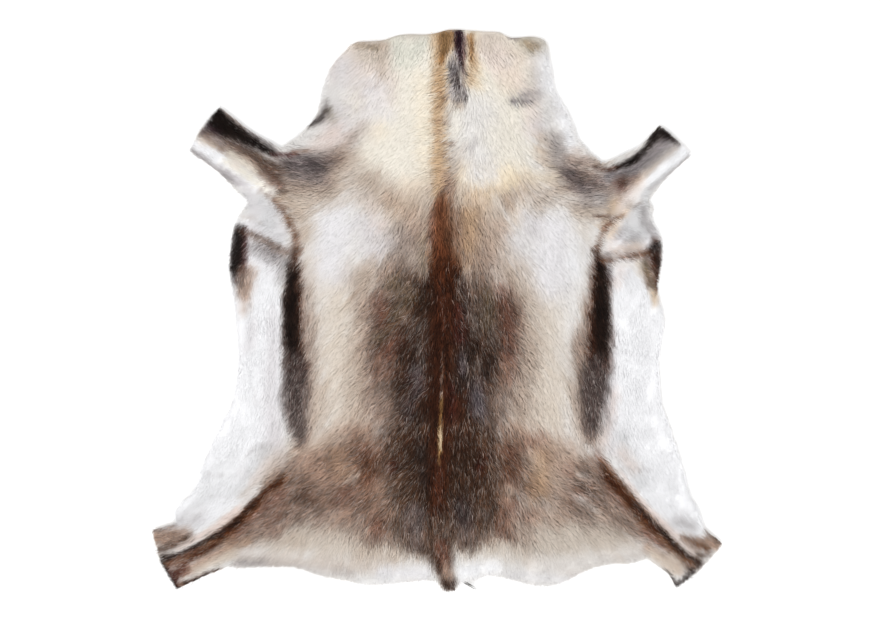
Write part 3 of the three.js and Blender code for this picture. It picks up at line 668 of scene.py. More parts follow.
# rump
markings += [
    ("rump pale", 0.9, 2.5, [(-35, -31, 2), (-24, -30, 4), (-14, -34, 4), (0, -40, 6), (16, -34, 5),
      (30, -33, 3)]),
    ("rump pale", 0.95, 3.0, [(-34, -46, 5), (-16, -47, 6), (0, -46, 6), (18, -47, 6), (36, -46, 5)]),
    ("rump rose", 0.8, 2.5, [(-28, -31, 2.4), (-17, -27, 3.5)]),
    ("rump rose", 0.75, 2.5, [(17, -27, 3), (27, -31, 3)]),
    ("rump", 0.9, 3.0, [(-17, -29, 3), (-24, -35.5, 5), (-31, -38, 4.5), (-16, -40, 5)]),
    ("rump", 0.8, 3.0, [(15.6, -29, 2.4), (16, -36, 3.4), (24, -38, 2.4), (33, -37, 2.8)]),
    ("taupe", 0.55, 3.0, [(-18, -45, 3), (-26, -43.5, 2.4)]),
    ("taupe", 0.85, 3.0, [(-33, -43, 3.4), (-40, -47, 2.5)]),
    ("taupe", 0.9, 2.0, [(-31, -33, 2.2), (-34, -36, 1.6)]),
    ("ash", 0.45, 1.4, [(-43, -52.6, 0.5), (-36, -52.8, 0.7)]),
    ("taupe", 0.65, 3.0, [(18, -46, 3.2), (22, -42, 2.4), (31, -43, 2.6), (40, -45, 2)]),
    ("rump tan", 0.65, 2.6, [(-22, -29.5, 1.6), (-20, -34, 2.2)]),
    ("rump tan", 0.6, 2.6, [(22, -30, 2.4), (22.4, -36.6, 2.8)]),
    ("apricot", 0.35, 2.0, [(22.4, -31, 1.2), (22.2, -38, 1.4)]),
    ("rump", 0.5, 1.8, [(19, -33, 1.0), (19.4, -39, 1.2)]),
    ("rump rose", 0.6, 2.4, [(-28, -32, 2.0), (-24, -36, 2.0)]),
    ("rump rose", 0.75, 2.6, [(26.4, -32, 2.6), (27, -38, 2.6), (26, -43, 1.8)]),
    ("rump pale", 0.35, 2.2, [(27, -31, 1.8), (25, -42, 2.0)]),
    ("rump", 0.7, 2.2, [(-15, -31, 1.6), (-16, -36, 1.6)]),
    ("walnut", 0.85, 1.6, [(-15, -31, 1.3), (-14.6, -35.6, 1.6)]),
    ("walnut", 0.6, 1.4, [(15.4, -30, 1.4), (16.4, -34, 1.2)]),
    ("rump", 0.6, 2.2, [(16, -31, 1.6), (16, -35, 1.4)]),
    ("rump rose", 0.4, 2.0, [(-24, -40, 1.6)]),
    ("rump red", 0.6, 1.8, [(-19.4, -38, 1.4), (-21, -40, 1.0)]),
    ("dark taupe", 0.5, 2.0, [(-29.6, -42.6, 1.6), (-32, -44, 1.2)]),
    ("rump rose", 0.6, 2.0, [(-21, -43.4, 1.6)]),
    ("rump rose", 0.7, 2.0, [(20.6, -43.4, 1.6)]),
    ("taupe", 0.8, 1.6, [(-15, -48, 1.3)]),
    ("taupe", 0.8, 1.6, [(15, -47.4, 1.3)]),
    ("greige", 0.5, 2.0, [(-30, -48.4, 1.6)]),
    ("rump red", 0.45, 1.8, [(19, -28, 1.4), (22, -27, 1.0)]),
    ("dark taupe", 0.65, 2.5, [(-31, -38, 2.2), (-27, -41, 1.6)]),
    ("rump red", 0.45, 1.8, [(-39, -42.6, 1.2), (-34, -42, 1.6)]),
    ("dark taupe", 0.7, 2.4, [(31.6, -33.6, 1.6), (34, -33.6, 1.4), (35, -39, 2.0)]),
    ("rump red", 0.4, 1.8, [(28, -34, 1.6)]),
    ("dark taupe", 0.35, 2.2, [(26, -39.5, 1.6), (31, -42.6, 1.6)]),
    ("taupe", 0.5, 2.0, [(36, -41, 1.5), (42, -46, 1.6)]),
    ("taupe", 0.45, 2.0, [(-38, -46, 1.6), (-46, -49, 1.4)]),
    ("rump", 0.95, 2.5, [(-12, -29, 3), (-13, -38, 2.6), (-12, -46, 3)]),
    ("rump", 0.95, 2.5, [(13, -29, 3), (14, -38, 2.6), (13, -45, 3)]),
    ("dark taupe", 0.7, 2.5, [(-9, -28, 2.4), (-9.4, -38, 3), (-9, -47, 2.6)]),
    ("dark taupe", 0.7, 2.5, [(9.6, -28, 2.4), (11, -38, 2.6), (9, -46, 2.6)]),
    ("saddle", 0.95, 2.2, [(-4, -30, 6), (-4, -40, 6), (-3.6, -47, 4.4)]),
    ("saddle", 0.95, 2.2, [(6, -30, 6), (6.4, -40, 6), (6, -46, 4.6)]),
    ("dark saddle", 0.7, 2.4, [(-3, -30, 4), (-2.6, -36, 2.6), (-1.6, -44, 1.2)]),
    ("dark saddle", 0.7, 2.4, [(5, -30, 3.6), (5.4, -37, 3.0), (4, -43, 1.6)]),
    ("soot", 0.5, 1.6, [(-3, -29, 1.4), (-2.6, -36, 1.2)]),
    ("russet", 0.5, 1.8, [(-15, -30, 1.2), (-14.6, -35, 1.2)]),
    ("russet", 0.5, 1.8, [(-13, -44, 1.2), (-12.8, -47.4, 1.0)]),
    ("russet", 0.5, 1.8, [(15.6, -30, 1.2), (15.6, -35, 1.2)]),
    ("russet", 0.5, 1.8, [(15.2, -41, 1.2), (14, -47, 1.0)]),
    ("maroon", 0.4, 1.5, [(-9.6, -33, 1.0)]),
    ("maroon", 0.35, 1.5, [(10.6, -31, 1.0)]),
    ("rump rose", 0.6, 1.6, [(-12.5, -37, 1.2), (-12.5, -41, 1.2)]),
    ("rump rose", 0.7, 1.5, [(15, -38, 1.4), (14.6, -40, 1.0)]),
    ("rump rose", 0.4, 1.4, [(15, -44.6, 0.8)]),
    ("rump pale", 0.4, 1.2, [(15.4, -38, 0.8)]),
    ("rump rose", 0.4, 1.4, [(-9, -43, 0.8)]),
    ("slate", 0.7, 1.6, [(-5, -43, 2.0), (-4.4, -48.5, 1.6)]),
    ("taupe", 0.4, 1.6, [(-5.6, -44, 1.8)]),
    ("slate", 0.55, 1.6, [(5, -42, 2), (6, -47.5, 1.8)]),
    ("chestnut", 0.75, 1.3, [(0.4, -31, 1.8), (0.2, -42, 1.8), (0.4, -46, 1.2)]),
    ("chestnut", 0.7, 1.4, [(0.2, -27, 2.4), (0.2, -36, 2.0)]),
    ("russet", 0.4, 0.9, [(0.2, -30, 0.8), (0.2, -42, 0.8)]),
    ("taupe", 0.5, 1.5, [(-10, -48.5, 1.2), (10, -47.6, 1.2)]),
    ("snow grey", 0.9, 1.5, [(-12, -55, 1.4), (-3, -55.5, 1.6)]),
    ("white", 0.9, 1.5, [(5.5, -55, 1.6), (12, -54, 1.8)]),
    ("dove", 0.9, 1.8, [(-42, -52, 1.2), (-34, -53, 1.4), (-26, -53, 1.2), (-20, -54, 1.4),
      (-14, -54, 1.0)]),
    ("ash", 0.35, 1.2, [(-41, -53, 0.8), (-30, -54, 0.7), (-24, -55, 0.6), (-18, -55.4, 0.5)]),
    ("snow grey", 0.8, 2.0, [(16, -56, 1.2), (32, -57, 1.0)]),
    ("dove", 0.6, 1.8, [(20, -53, 1.2), (28, -54.6, 1.2), (36, -52.4, 1.2), (43, -51.4, 0.8)]),
    ("greige", 0.55, 2.0, [(-16, -51.6, 1.6), (-9, -52, 1.4)]),
    ("chestnut", 0.45, 1.2, [(9.4, -31.4, 1.0), (9.6, -34.6, 1.0)]),
    ("maroon", 0.5, 0.9, [(9, -33, 0.8)]),
    ("walnut", 0.5, 1.3, [(14.6, -32, 1.0), (15.4, -34.6, 0.9)]),
    ("walnut", 0.6, 1.3, [(-14.6, -32, 1.0), (-14.6, -34.6, 0.9)]),
    ("dark taupe", 0.4, 1.6, [(30, -37, 1.4), (34, -38.4, 1.4)]),
    ("rump red", 0.4, 1.6, [(29, -39, 1.2)]),
    ("rump red", 0.4, 1.6, [(19.4, -43, 1.2), (16, -43.6, 1.0)]),
    ("taupe", 0.4, 1.4, [(15, -47.6, 1.2)]),
    ("taupe", 0.4, 1.6, [(-30, -43.4, 1.4)]),
    ("rump rose", 0.4, 1.6, [(-14.6, -42.6, 1.2), (-10.6, -43.4, 0.9)]),
    ("ash", 0.2, 1.4, [(9.6, -43, 1.4)]),
    ("rump pale", 0.35, 1.6, [(-25.4, -27.6, 1.2), (-20, -27.4, 1.0)]),
    ("rump pale", 0.3, 1.6, [(25, -27.6, 1.2)]),
    ("pearl", 0.6, 1.8, [(21, -53.6, 1.2), (30, -53.4, 1.4), (36, -52.4, 1.0)]),
    ("rump pale", 0.35, 2.0, [(24, -48, 1.4), (34, -47.4, 1.4), (41, -49.4, 1.0)]),
    ("white", 0.5, 1.4, [(-16, -57.4, 0.8), (-8, -57.6, 0.8)]),
    ("pearl", 0.5, 1.2, [(16, -57.6, 0.8), (24, -58, 0.8)]),
    ("dark taupe", 0.3, 1.4, [(-29, -43.8, 1.4)]),
    ("chestnut", 0.35, 1.3, [(5, -29, 1.2)]),
    ("rump", 0.3, 1.4, [(10, -28, 1.0)]),
    ("dark taupe", 0.3, 1.2, [(15, -47.4, 1.0)]),
    ("taupe", 0.3, 1.2, [(-10, -47.6, 0.9)]),
    # gold thread down the spine
    ("taupe", 0.75, 0.3, [(1.0, -9.5, 0.12), (0.95, -14, 0.15), (0.8, -19, 0.2)]),
    ("gold", 0.8, 0.35, [(0.8, -18.5, 0.18), (0.6, -24, 0.24), (0.6, -27, 0.32), (0.4, -30, 0.24),
      (0.3, -32.4, 0.12)]),
    ("cream", 0.8, 0.3, [(0.65, -24.4, 0.1), (0.7, -26.8, 0.18), (0.5, -29, 0.12)]),
    # tail
    ("dark taupe", 0.9, 1.5, [(0.2, -46, 3.0), (0.6, -52, 2.2)]),
    ("dark taupe", 0.9, 0.9, [(0.8, -51, 2.2), (1.2, -54, 2.0), (2.2, -57.6, 1.4)]),
    ("russet", 0.7, 0.9, [(0.8, -49.5, 1.4), (1.4, -53, 1.4)]),
    ("rump rose", 0.75, 0.9, [(1.7, -53.4, 0.8), (2.2, -55.4, 1.3)]),
    ("dark saddle", 0.6, 0.6, [(-0.4, -52, 0.3), (0.4, -55, 0.3)]),
    ("dark saddle", 0.85, 0.7, [(1.4, -57.4, 0.6), (2.6, -58.6, 0.7), (3.6, -57, 0.3)]),
    ("dark saddle", 0.7, 0.5, [(3.4, -51.4, 0.3), (3.5, -54, 0.25)]),
    ("dark taupe", 0.5, 0.9, [(-3, -50.8, 0.6), (5, -50.4, 0.6)]),
]
# dark bands along the sides, and the marks at the edge of the belly
markings += [
    ("greige", 0.6, 2.5, [(-27.6, 10, 0.8), (-26.8, 2, 1.2), (-26.4, -10, 1.8), (-27, -22, 2.0),
      (-28, -28, 1.6)]),
    ("lilac grey", 0.6, 1.8, [(-34.2, 0, 0.8), (-34.6, -12, 1.4), (-35, -22, 1.8), (-35, -31, 2.5)]),
    ("taupe", 0.75, 1.8, [(-29.8, 12, 0.8), (-29.4, 6, 1.4), (-28.2, -2, 2.0), (-28.2, -8, 2.2),
      (-28.8, -20, 2.4), (-29, -28, 1.6)]),
    ("chestnut", 0.95, 1.3, [(-30, 12.6, 0.8), (-30.6, 6, 1.4), (-30.5, 0, 1.8), (-30.3, -6, 2.0),
      (-30, -12, 2.1)]),
    ("black", 0.9, 1.1, [(-31, 9.4, 1.1), (-31, 2, 1.5), (-30.7, -4, 1.8), (-30.4, -9, 1.5)]),
    ("stripe", 0.92, 1.5, [(-30, -11, 2.4), (-30, -18, 2.8), (-29.9, -22, 2.4), (-29.2, -26, 1.6)]),
    ("soot", 0.4, 1.0, [(-31, -12, 0.7), (-30.8, -18, 0.7)]),
    ("greige", 0.6, 2.2, [(30.8, 1, 0.6), (30.4, -5, 1.0), (29.6, -16, 2.0), (30.4, -26, 2.4)]),
    ("lilac grey", 0.5, 1.4, [(37, -4, 0.4), (36.8, -16, 0.9), (36.4, -24, 1.2), (36.4, -30, 1.4)]),
    ("taupe", 0.8, 1.6, [(33.4, 9, 1.0), (32.6, 3, 1.2), (32, -1, 1.6), (31.2, -6, 2.4),
      (31.2, -12, 2.6), (31.6, -20, 2.6), (32.2, -27, 1.8)]),
    ("chestnut", 0.95, 1.3, [(33.6, 12.4, 0.9), (34.2, 6, 1.7), (34.3, -2, 2.1), (34, -8, 2.4),
      (33.8, -12, 2.3)]),
    ("black", 0.9, 1.1, [(34.4, 9, 1.0), (34.7, 2, 1.5), (34.7, -4, 1.7), (34.6, -9, 1.6)]),
    ("ash", 0.6, 1.4, [(35.6, -20, 0.9), (35, -25, 1.0)]),
    ("stripe", 0.95, 1.6, [(33.4, -12.4, 2.6), (33, -17, 2.9), (32.6, -21, 2.2), (32.4, -25, 1.4)]),
    ("blush", 0.6, 1.4, [(37.4, -17, 0.5), (36.6, -22, 0.5), (34.6, -28, 0.8)]),
    ("ash", 0.35, 1.2, [(36, -23, 0.8)]),
    ("lilac grey", 0.4, 1.6, [(-33.6, -22, 1.0), (-34, -30, 1.5)]),
    ("soot", 0.95, 0.9, [(-41.6, 17.2, 0.9), (-42, 13.6, 1.6), (-42.4, 9.4, 1.4), (-42.6, 6, 0.7)]),
    ("black", 0.8, 0.8, [(-42, 16.4, 0.9), (-42.6, 12, 1.1), (-42.8, 8.6, 0.9)]),
    ("maroon", 0.7, 0.8, [(-40.6, 16.6, 0.6), (-40.6, 12.4, 0.4), (-41, 8, 0.7)]),
    ("taupe", 0.8, 1.3, [(-41, 8, 0.9), (-41.2, 3.4, 1.0)]),
    ("rump rose", 0.8, 1.4, [(-39.4, 8.4, 0.9), (-40.2, 4, 1.2), (-40.6, 0, 1.0)]),
    ("lilac grey", 0.5, 1.6, [(-39, -3, 1.2), (-39.6, -8, 1.0)]),
    ("chestnut", 0.95, 0.9, [(46, 14.6, 0.7), (45.8, 11, 1.4), (46.2, 7, 0.8), (46.4, 4.4, 0.4)]),
    ("walnut", 0.75, 1.1, [(43.8, 11.4, 0.6), (44, 8.6, 0.8), (44.8, 5.4, 0.6)]),
    ("black", 0.7, 0.8, [(46.4, 13.4, 0.9), (46.6, 9, 0.8)]),
    ("tan", 0.65, 0.8, [(45.4, 3.4, 0.8), (45.8, 0.6, 0.4)]),
    ("slate", 0.6, 0.9, [(35.8, 11.6, 0.8), (36.4, 9.4, 0.7), (36.2, 7, 0.4)]),
    ("white", 0.8, 1.4, [(29.6, 13.4, 1.4), (29.2, 9.4, 1.0)]),
    ("snow grey", 0.6, 1.2, [(39.6, 7.6, 1.0)]),
    ("snow grey", 0.8, 1.4, [(-34.8, 8, 1.2)]),
    ("taupe", 0.4, 1.2, [(29.8, -8, 0.9)]),
    ("dark taupe", 0.55, 0.9, [(-41.4, 8.4, 0.8), (-41.6, 5.6, 0.6)]),
    ("white", 0.65, 1.0, [(-40.2, 1, 0.8), (-39.8, -1.6, 0.8)]),
    ("white", 0.4, 0.8, [(-38.6, 6, 0.5)]),
    ("taupe", 0.35, 0.8, [(-30.2, 12, 0.8), (-30.8, 8.6, 0.8)]),
    ("slate", 0.3, 0.9, [(-33, 7, 0.5)]),
    ("black", 0.85, 0.7, [(46.6, 14, 0.5), (45, 12.8, 1.0), (44.4, 11.8, 0.6)]),
    ("olive brown", 0.75, 0.8, [(43.8, 10, 0.7), (44.6, 7.4, 0.7), (45.4, 5, 0.4)]),
    ("white", 0.4, 0.7, [(37.6, -3, 0.6)]),
    ("white", 0.6, 0.8, [(41.6, 8, 0.6), (43.4, 4, 0.4)]),
    ("white", 0.5, 1.0, [(28.6, 12, 1.2)]),
]
# shoulders and armpits
markings += [
    ("lilac grey", 0.4, 2.5, [(-34, 20, 4), (-36, 12, 3)]),
    ("lilac grey", 0.4, 2.5, [(38, 21, 3), (41, 14, 4)]),
    ("beige", 0.5, 2.5, [(-29, 20, 2), (-27, 12, 1.5)]),
    ("beige", 0.5, 2.5, [(31, 20, 2), (30, 13, 1.5)]),
    ("greige", 0.85, 3.0, [(-30, 26, 4), (-24, 26, 4), (-20, 32, 2)]),
    ("greige", 0.6, 2.5, [(-29, 21, 2), (-28, 17, 1.4)]),
    ("taupe", 0.8, 2.4, [(-33, 29.6, 2.2), (-25, 30.2, 3.0), (-21, 32.5, 1.2)]),
    ("slate", 0.6, 2.2, [(-33, 31, 1.4), (-28, 31, 2.4), (-24, 31, 1.6)]),
    ("slate", 0.4, 1.4, [(-30, 31.5, 1.6), (-26, 30.5, 1.3)]),
    ("soot", 0.5, 0.5, [(-26, 30.4, 0.2), (-22.4, 30, 0.25)]),
    ("soot", 0.4, 0.5, [(-25.6, 29.3, 0.2), (-22.6, 29, 0.2)]),
    ("soot", 0.4, 0.5, [(-25.6, 28.2, 0.2), (-23, 28, 0.2)]),
    ("soot", 0.45, 0.7, [(-31.6, 30.2, 0.5)]),
    ("blush", 0.8, 2.0, [(-22, 37, 2.2), (-26, 35, 1.0)]),
    ("taupe", 0.35, 2.0, [(-18, 35.5, 1.2)]),
    ("taupe", 0.5, 2.0, [(-30, 26.5, 1.6), (-24, 26.5, 1.6)]),
    ("tan", 0.35, 1.5, [(-33, 24, 1.0)]),
    ("greige", 0.75, 2.5, [(23.6, 35.6, 1.4), (25.4, 30.6, 2.0), (25, 25, 2.4), (21, 22.6, 2.0)]),
    ("greige", 0.85, 3.0, [(30, 27, 4.0), (34, 24, 3.5)]),
    ("greige", 0.7, 2.2, [(30, 21.4, 2), (35, 22.4, 1.8), (39, 20.6, 1.4)]),
    ("ash", 0.65, 1.8, [(24.4, 36, 1.2), (26.4, 31, 1.6)]),
    ("taupe", 0.8, 2.2, [(29.4, 28.4, 3.0), (34.4, 26, 3.0)]),
    ("taupe", 0.6, 1.0, [(31, 31.6, 0.8), (35, 30.6, 0.8)]),
    ("slate", 0.55, 2.2, [(28.6, 28.8, 1.9), (31.4, 26, 1.9), (34.4, 27.4, 1.5)]),
    ("slate", 0.45, 1.4, [(27.4, 28.6, 1.4), (29.6, 26.4, 1.2)]),
    ("fawn", 0.35, 1.8, [(21.6, 36.4, 0.8), (22, 31, 0.8)]),
    ("rump rose", 0.5, 1.6, [(28.5, 32.2, 1.3)]),
    ("ash", 0.55, 1.8, [(31, 23.6, 1.8), (35, 24.6, 1.4), (35.6, 22.4, 0.8)]),
    ("peach", 0.4, 1.4, [(35.4, 21.8, 0.8), (37.8, 23.6, 0.8)]),
    ("ash", 0.5, 1.4, [(42, 22, 1.0), (41, 18, 1.2), (38, 16, 1.0)]),
    ("ash", 0.4, 1.8, [(-30, 28.6, 1.4), (-25, 27.6, 1.6)]),
    ("beige", 0.5, 1.4, [(-29.4, 22.4, 1.2)]),
    ("beige", 0.5, 1.2, [(29.6, 33.2, 0.9)]),
    ("snow grey", 0.5, 1.6, [(-25.6, 12.6, 1.4)]),
    ("lilac grey", 0.4, 1.6, [(-35.6, 21.6, 1.2), (-35, 17.6, 1.2)]),
    ("slate", 0.35, 1.4, [(-31, 28.6, 1.4), (-25.4, 28.8, 1.6)]),
    ("ash", 0.4, 1.2, [(34.6, 23, 1.2), (36, 21.6, 0.6)]),
    ("blush", 0.5, 1.2, [(29.6, 33.4, 0.9), (31.4, 32, 0.6)]),
]
# left foreleg
markings += [
    ("white", 1.0, 0.9, [(-51, 34.4, 2.2), (-45.4, 31.2, 2.2), (-40.8, 28, 1.8), (-37, 25.6, 0.8)]),
    ("taupe", 0.9, 1.0, [(-49.6, 37.4, 1.0), (-45, 35.2, 1.9), (-41, 32.8, 1.9), (-37.6, 30.4, 1.9),
      (-35, 27.8, 1.5)]),
    ("rump rose", 0.35, 0.9, [(-42, 32.8, 0.6), (-38, 30, 0.8), (-35.4, 27, 0.6)]),
    ("dark taupe", 0.8, 1.2, [(-48.4, 38, 0.8), (-43, 35.6, 1.0), (-38, 32.8, 1.2), (-34.6, 30, 1.6),
      (-33, 27, 1.1), (-33, 25, 0.6)]),
    ("rump red", 0.5, 0.9, [(-36, 29.4, 0.6), (-33.4, 26.4, 0.7)]),
    ("ash", 0.7, 1.2, [(-45, 41.6, 1.2), (-42, 39, 1.2), (-38, 36.6, 0.9), (-34.6, 35, 0.5)]),
    ("slate", 0.45, 0.9, [(-48, 38.4, 0.5), (-44, 36.2, 0.6), (-40, 34.2, 0.6)]),
    ("soot", 0.9, 0.9, [(-47, 40.6, 2.4), (-44.8, 39.2, 2.1), (-41.4, 37, 1.6), (-38, 35.1, 1.1),
      (-35, 33.5, 0.6)]),
    ("black", 1.0, 0.8, [(-46.8, 41, 2.0), (-45.2, 39.4, 1.8), (-41.6, 37, 1.2), (-38.2, 35, 0.7),
      (-35, 33.3, 0.5)]),
    ("maroon", 0.8, 0.6, [(-35, 33.1, 0.4), (-32, 32.9, 0.4), (-30, 33.3, 0.3)]),
    ("purple black", 0.5, 0.8, [(-48.6, 38.8, 0.6), (-46.4, 37.8, 0.5)]),
    ("rump rose", 0.6, 0.7, [(-30.6, 33.5, 0.3), (-28, 33.6, 0.3)]),
    # grey line along the lower edge of the left foreleg: painted shadow under the edge
    ("ash", 0.8, 0.8, [(-51.8, 33.7, 0.6), (-48.6, 31.6, 0.5), (-45, 29, 0.5), (-42.4, 27, 0.5)]),
    ("lilac grey", 0.8, 1.0, [(-46, 30.4, 0.6), (-42, 27.4, 0.7), (-39.6, 24.6, 1.2), (-38, 21.8, 1.6),
      (-35, 20.6, 1.4)]),
    ("ivory", 0.9, 0.7, [(-44.6, 31.6, 0.8), (-41, 29.2, 0.9), (-38, 27, 0.7), (-36, 25.6, 0.4)]),
    ("peach", 0.4, 0.8, [(-50, 36, 0.5), (-47, 34.6, 0.3)]),
    ("taupe", 0.7, 0.8, [(-37.4, 25.4, 0.2), (-35, 23.6, 0.3), (-33, 21.4, 0.4)]),
    ("walnut", 0.75, 0.7, [(-34.6, 23.2, 0.3), (-33, 21.6, 0.35), (-31.4, 19, 0.45),
      (-30.2, 16.4, 0.5), (-29.6, 13, 0.5)]),
    ("olive brown", 0.6, 0.8, [(-32, 20, 0.4), (-30.4, 17, 0.5)]),
    ("greige", 0.7, 1.2, [(-31.2, 22.6, 0.7), (-29, 18.6, 0.6), (-28, 15, 0.5)]),
    ("lilac grey", 0.7, 1.4, [(-38, 18, 2.0), (-34, 16.6, 2.0)]),
    ("mist", 0.6, 1.6, [(-37, 23, 1.6), (-36, 19, 2.2), (-34, 15, 1.6), (-38, 13, 1.4)]),
    # the fold across the left armpit: its thin dark lines and the grey under them are painted crease shade
    ("taupe", 0.7, 0.6, [(-41.2, 19.8, 0.25), (-39, 19.6, 0.25), (-37.4, 18.6, 0.15)]),
    ("ash", 0.85, 1.4, [(-38, 13, 1.0), (-36, 12.2, 1.8), (-33, 10.6, 1.6)]),
    ("taupe", 0.6, 0.9, [(-39.6, 15.8, 0.5), (-36.6, 14.6, 0.5), (-34, 12.8, 0.7), (-32, 11.8, 0.7)]),
    ("dark taupe", 0.7, 0.6, [(-41.4, 16.6, 0.6), (-39, 16, 0.4), (-36.6, 15, 0.3), (-34.4, 13.4, 0.3),
      (-31.6, 12.2, 0.35)]),
    ("taupe", 0.5, 0.9, [(-30.6, 18, 0.6), (-29.8, 15.6, 0.6)]),
    ("rump rose", 0.4, 0.8, [(-40.4, 32, 0.7)]),
    # a grey spot on the same line: painted shadow under the edge
    ("ash", 0.4, 0.8, [(-49.6, 32.4, 0.6)]),
    ("slate", 0.8, 0.7, [(-49.8, 37.4, 0.5), (-48.6, 38.4, 0.4)]),
    ("white", 0.8, 0.5, [(-47.9, 41.2, 0.3), (-49.4, 39, 0.3)]),
    ("lilac grey", 0.4, 0.9, [(-47.4, 36.4, 0.6), (-45.4, 35.4, 0.6)]),
    ("taupe", 0.6, 0.7, [(-44.6, 41.4, 0.3), (-41, 38.9, 0.3)]),
    ("taupe", 0.6, 0.5, [(-37.6, 25.8, 0.12), (-35.2, 23.8, 0.25)]),
    ("mist", 0.5, 1.0, [(-41.4, 22.4, 0.8), (-38, 22.8, 0.8)]),
    ("blush", 0.5, 0.8, [(-42.6, 31, 0.7)]),
]
# right foreleg
markings += [
    ("greige", 0.6, 0.8, [(36.6, 31.4, 0.4), (34, 31, 0.4)]),
    ("white", 1.0, 0.8, [(52.4, 33.8, 1.6), (48, 30.2, 1.8), (44, 26.8, 1.8), (41.4, 24.2, 1.6)]),
    ("ash", 0.95, 1.0, [(49.4, 36, 1.8), (46, 33, 1.8), (43.4, 30.6, 1.6), (40.2, 28.6, 1.6),
      (36.6, 28.2, 1.6)]),
    ("slate", 0.45, 1.2, [(48, 36, 1.0), (44.4, 32.6, 0.7), (41, 29.8, 0.8), (37, 28.8, 0.9)]),
    ("rump red", 0.7, 1.2, [(41.4, 27.6, 0.8), (38.6, 26.4, 1.7)]),
    ("maroon", 0.4, 1.1, [(39, 26.6, 1.0)]),
    ("dark taupe", 0.5, 1.0, [(39.4, 27, 0.8)]),
    ("rump rose", 0.5, 1.0, [(44, 29.4, 0.4), (41, 26, 0.6), (38.6, 23.4, 0.8)]),
    ("peach", 0.5, 0.8, [(46, 31, 0.25), (42, 27, 0.3)]),
    ("soot", 0.85, 0.9, [(47.6, 37.4, 1.2), (45.6, 35.8, 0.9), (43.6, 33.6, 0.6), (41, 31.8, 0.45),
      (38, 30.5, 0.4)]),
    ("black", 1.0, 0.6, [(46.6, 38, 0.9), (48.8, 36.9, 0.6), (50.8, 35.2, 0.2)]),
    ("black", 0.95, 0.6, [(46, 37, 0.7), (44.4, 34.8, 0.5), (42.6, 32.8, 0.5), (40.6, 31.3, 0.45),
      (38, 30.3, 0.4)]),
    ("chestnut", 0.8, 0.7, [(37.6, 30.1, 0.4), (35.6, 29.8, 0.35), (33.4, 30.1, 0.3)]),
    # grey line along the lower edge of the right foreleg: painted shadow under the edge
    ("ash", 0.7, 0.7, [(52.8, 32.4, 0.35), (48.2, 28.6, 0.4), (45, 25.8, 0.5)]),
    ("mist", 0.8, 0.9, [(44, 25, 0.8), (43.4, 22, 1.4), (41.6, 18.6, 2.4), (42, 16, 2.2)]),
    ("blush", 0.6, 0.9, [(36.6, 15, 0.7), (36.6, 12.8, 0.6), (42, 13.4, 0.8)]),
    ("walnut", 0.65, 0.7, [(39.4, 20.2, 0.3), (37.6, 19.4, 0.4), (35.6, 17.6, 0.4), (34.4, 15.4, 0.35),
      (33.8, 12.8, 0.5)]),
    ("tan", 0.5, 0.9, [(37.4, 22.4, 0.7), (36.4, 20.4, 0.5), (34.4, 17.6, 0.3)]),
    ("peach", 0.6, 0.8, [(37.8, 17.6, 0.6), (36, 15.4, 0.5), (40.6, 22.4, 0.6)]),
    ("dark taupe", 0.6, 0.5, [(33.4, 19.9, 0.2), (36.4, 19.8, 0.3)]),
    ("dark taupe", 0.5, 0.5, [(42.8, 23.2, 0.25), (41.8, 22, 0.15)]),
    ("ash", 0.6, 1.0, [(43.6, 21.6, 0.6), (43.6, 18.6, 0.9), (45.4, 16, 0.5)]),
    ("ash", 0.5, 0.7, [(39, 14.4, 0.25), (43, 15.2, 0.25), (41, 16.4, 0.2)]),
    ("greige", 0.6, 1.2, [(42.6, 13.4, 0.9), (38, 12.6, 0.6)]),
    ("taupe", 0.5, 0.8, [(35.2, 11.4, 0.4), (39, 11.8, 0.4), (43, 12.4, 0.6)]),
    ("walnut", 0.8, 0.7, [(35.2, 10.2, 0.5), (38, 10.8, 0.4), (41, 11.3, 0.45), (44.2, 12, 0.8)]),
    ("beige", 0.8, 1.0, [(42.2, 9.8, 0.8), (42.8, 8, 0.6)]),
    ("beige", 0.5, 0.8, [(37, 9.2, 0.4), (40, 9.8, 0.4)]),
    ("slate", 0.35, 1.2, [(45.4, 32.4, 0.9)]),
    ("dark taupe", 0.4, 1.0, [(39.6, 27.6, 0.8)]),
    ("ash", 0.4, 1.0, [(40.4, 22.6, 0.8)]),
    ("taupe", 0.4, 0.9, [(35.4, 17.6, 0.7)]),
    ("walnut", 0.7, 0.5, [(39.6, 20.3, 0.15), (37.4, 19.2, 0.25), (35.6, 17.6, 0.3),
      (34.6, 15.4, 0.25), (34, 13.4, 0.4)]),
    ("walnut", 0.6, 0.35, [(33.2, 19.8, 0.15), (36.2, 19.7, 0.2)]),
    ("ash", 0.5, 1.0, [(44.8, 18, 0.6), (45.6, 16, 0.5)]),
    ("slate", 0.25, 0.9, [(46.6, 35.4, 0.9)]),
    ("blush", 0.5, 0.8, [(40.2, 33, 0.3)]),
    ("ash", 0.35, 0.9, [(40.6, 22, 0.8)]),
]
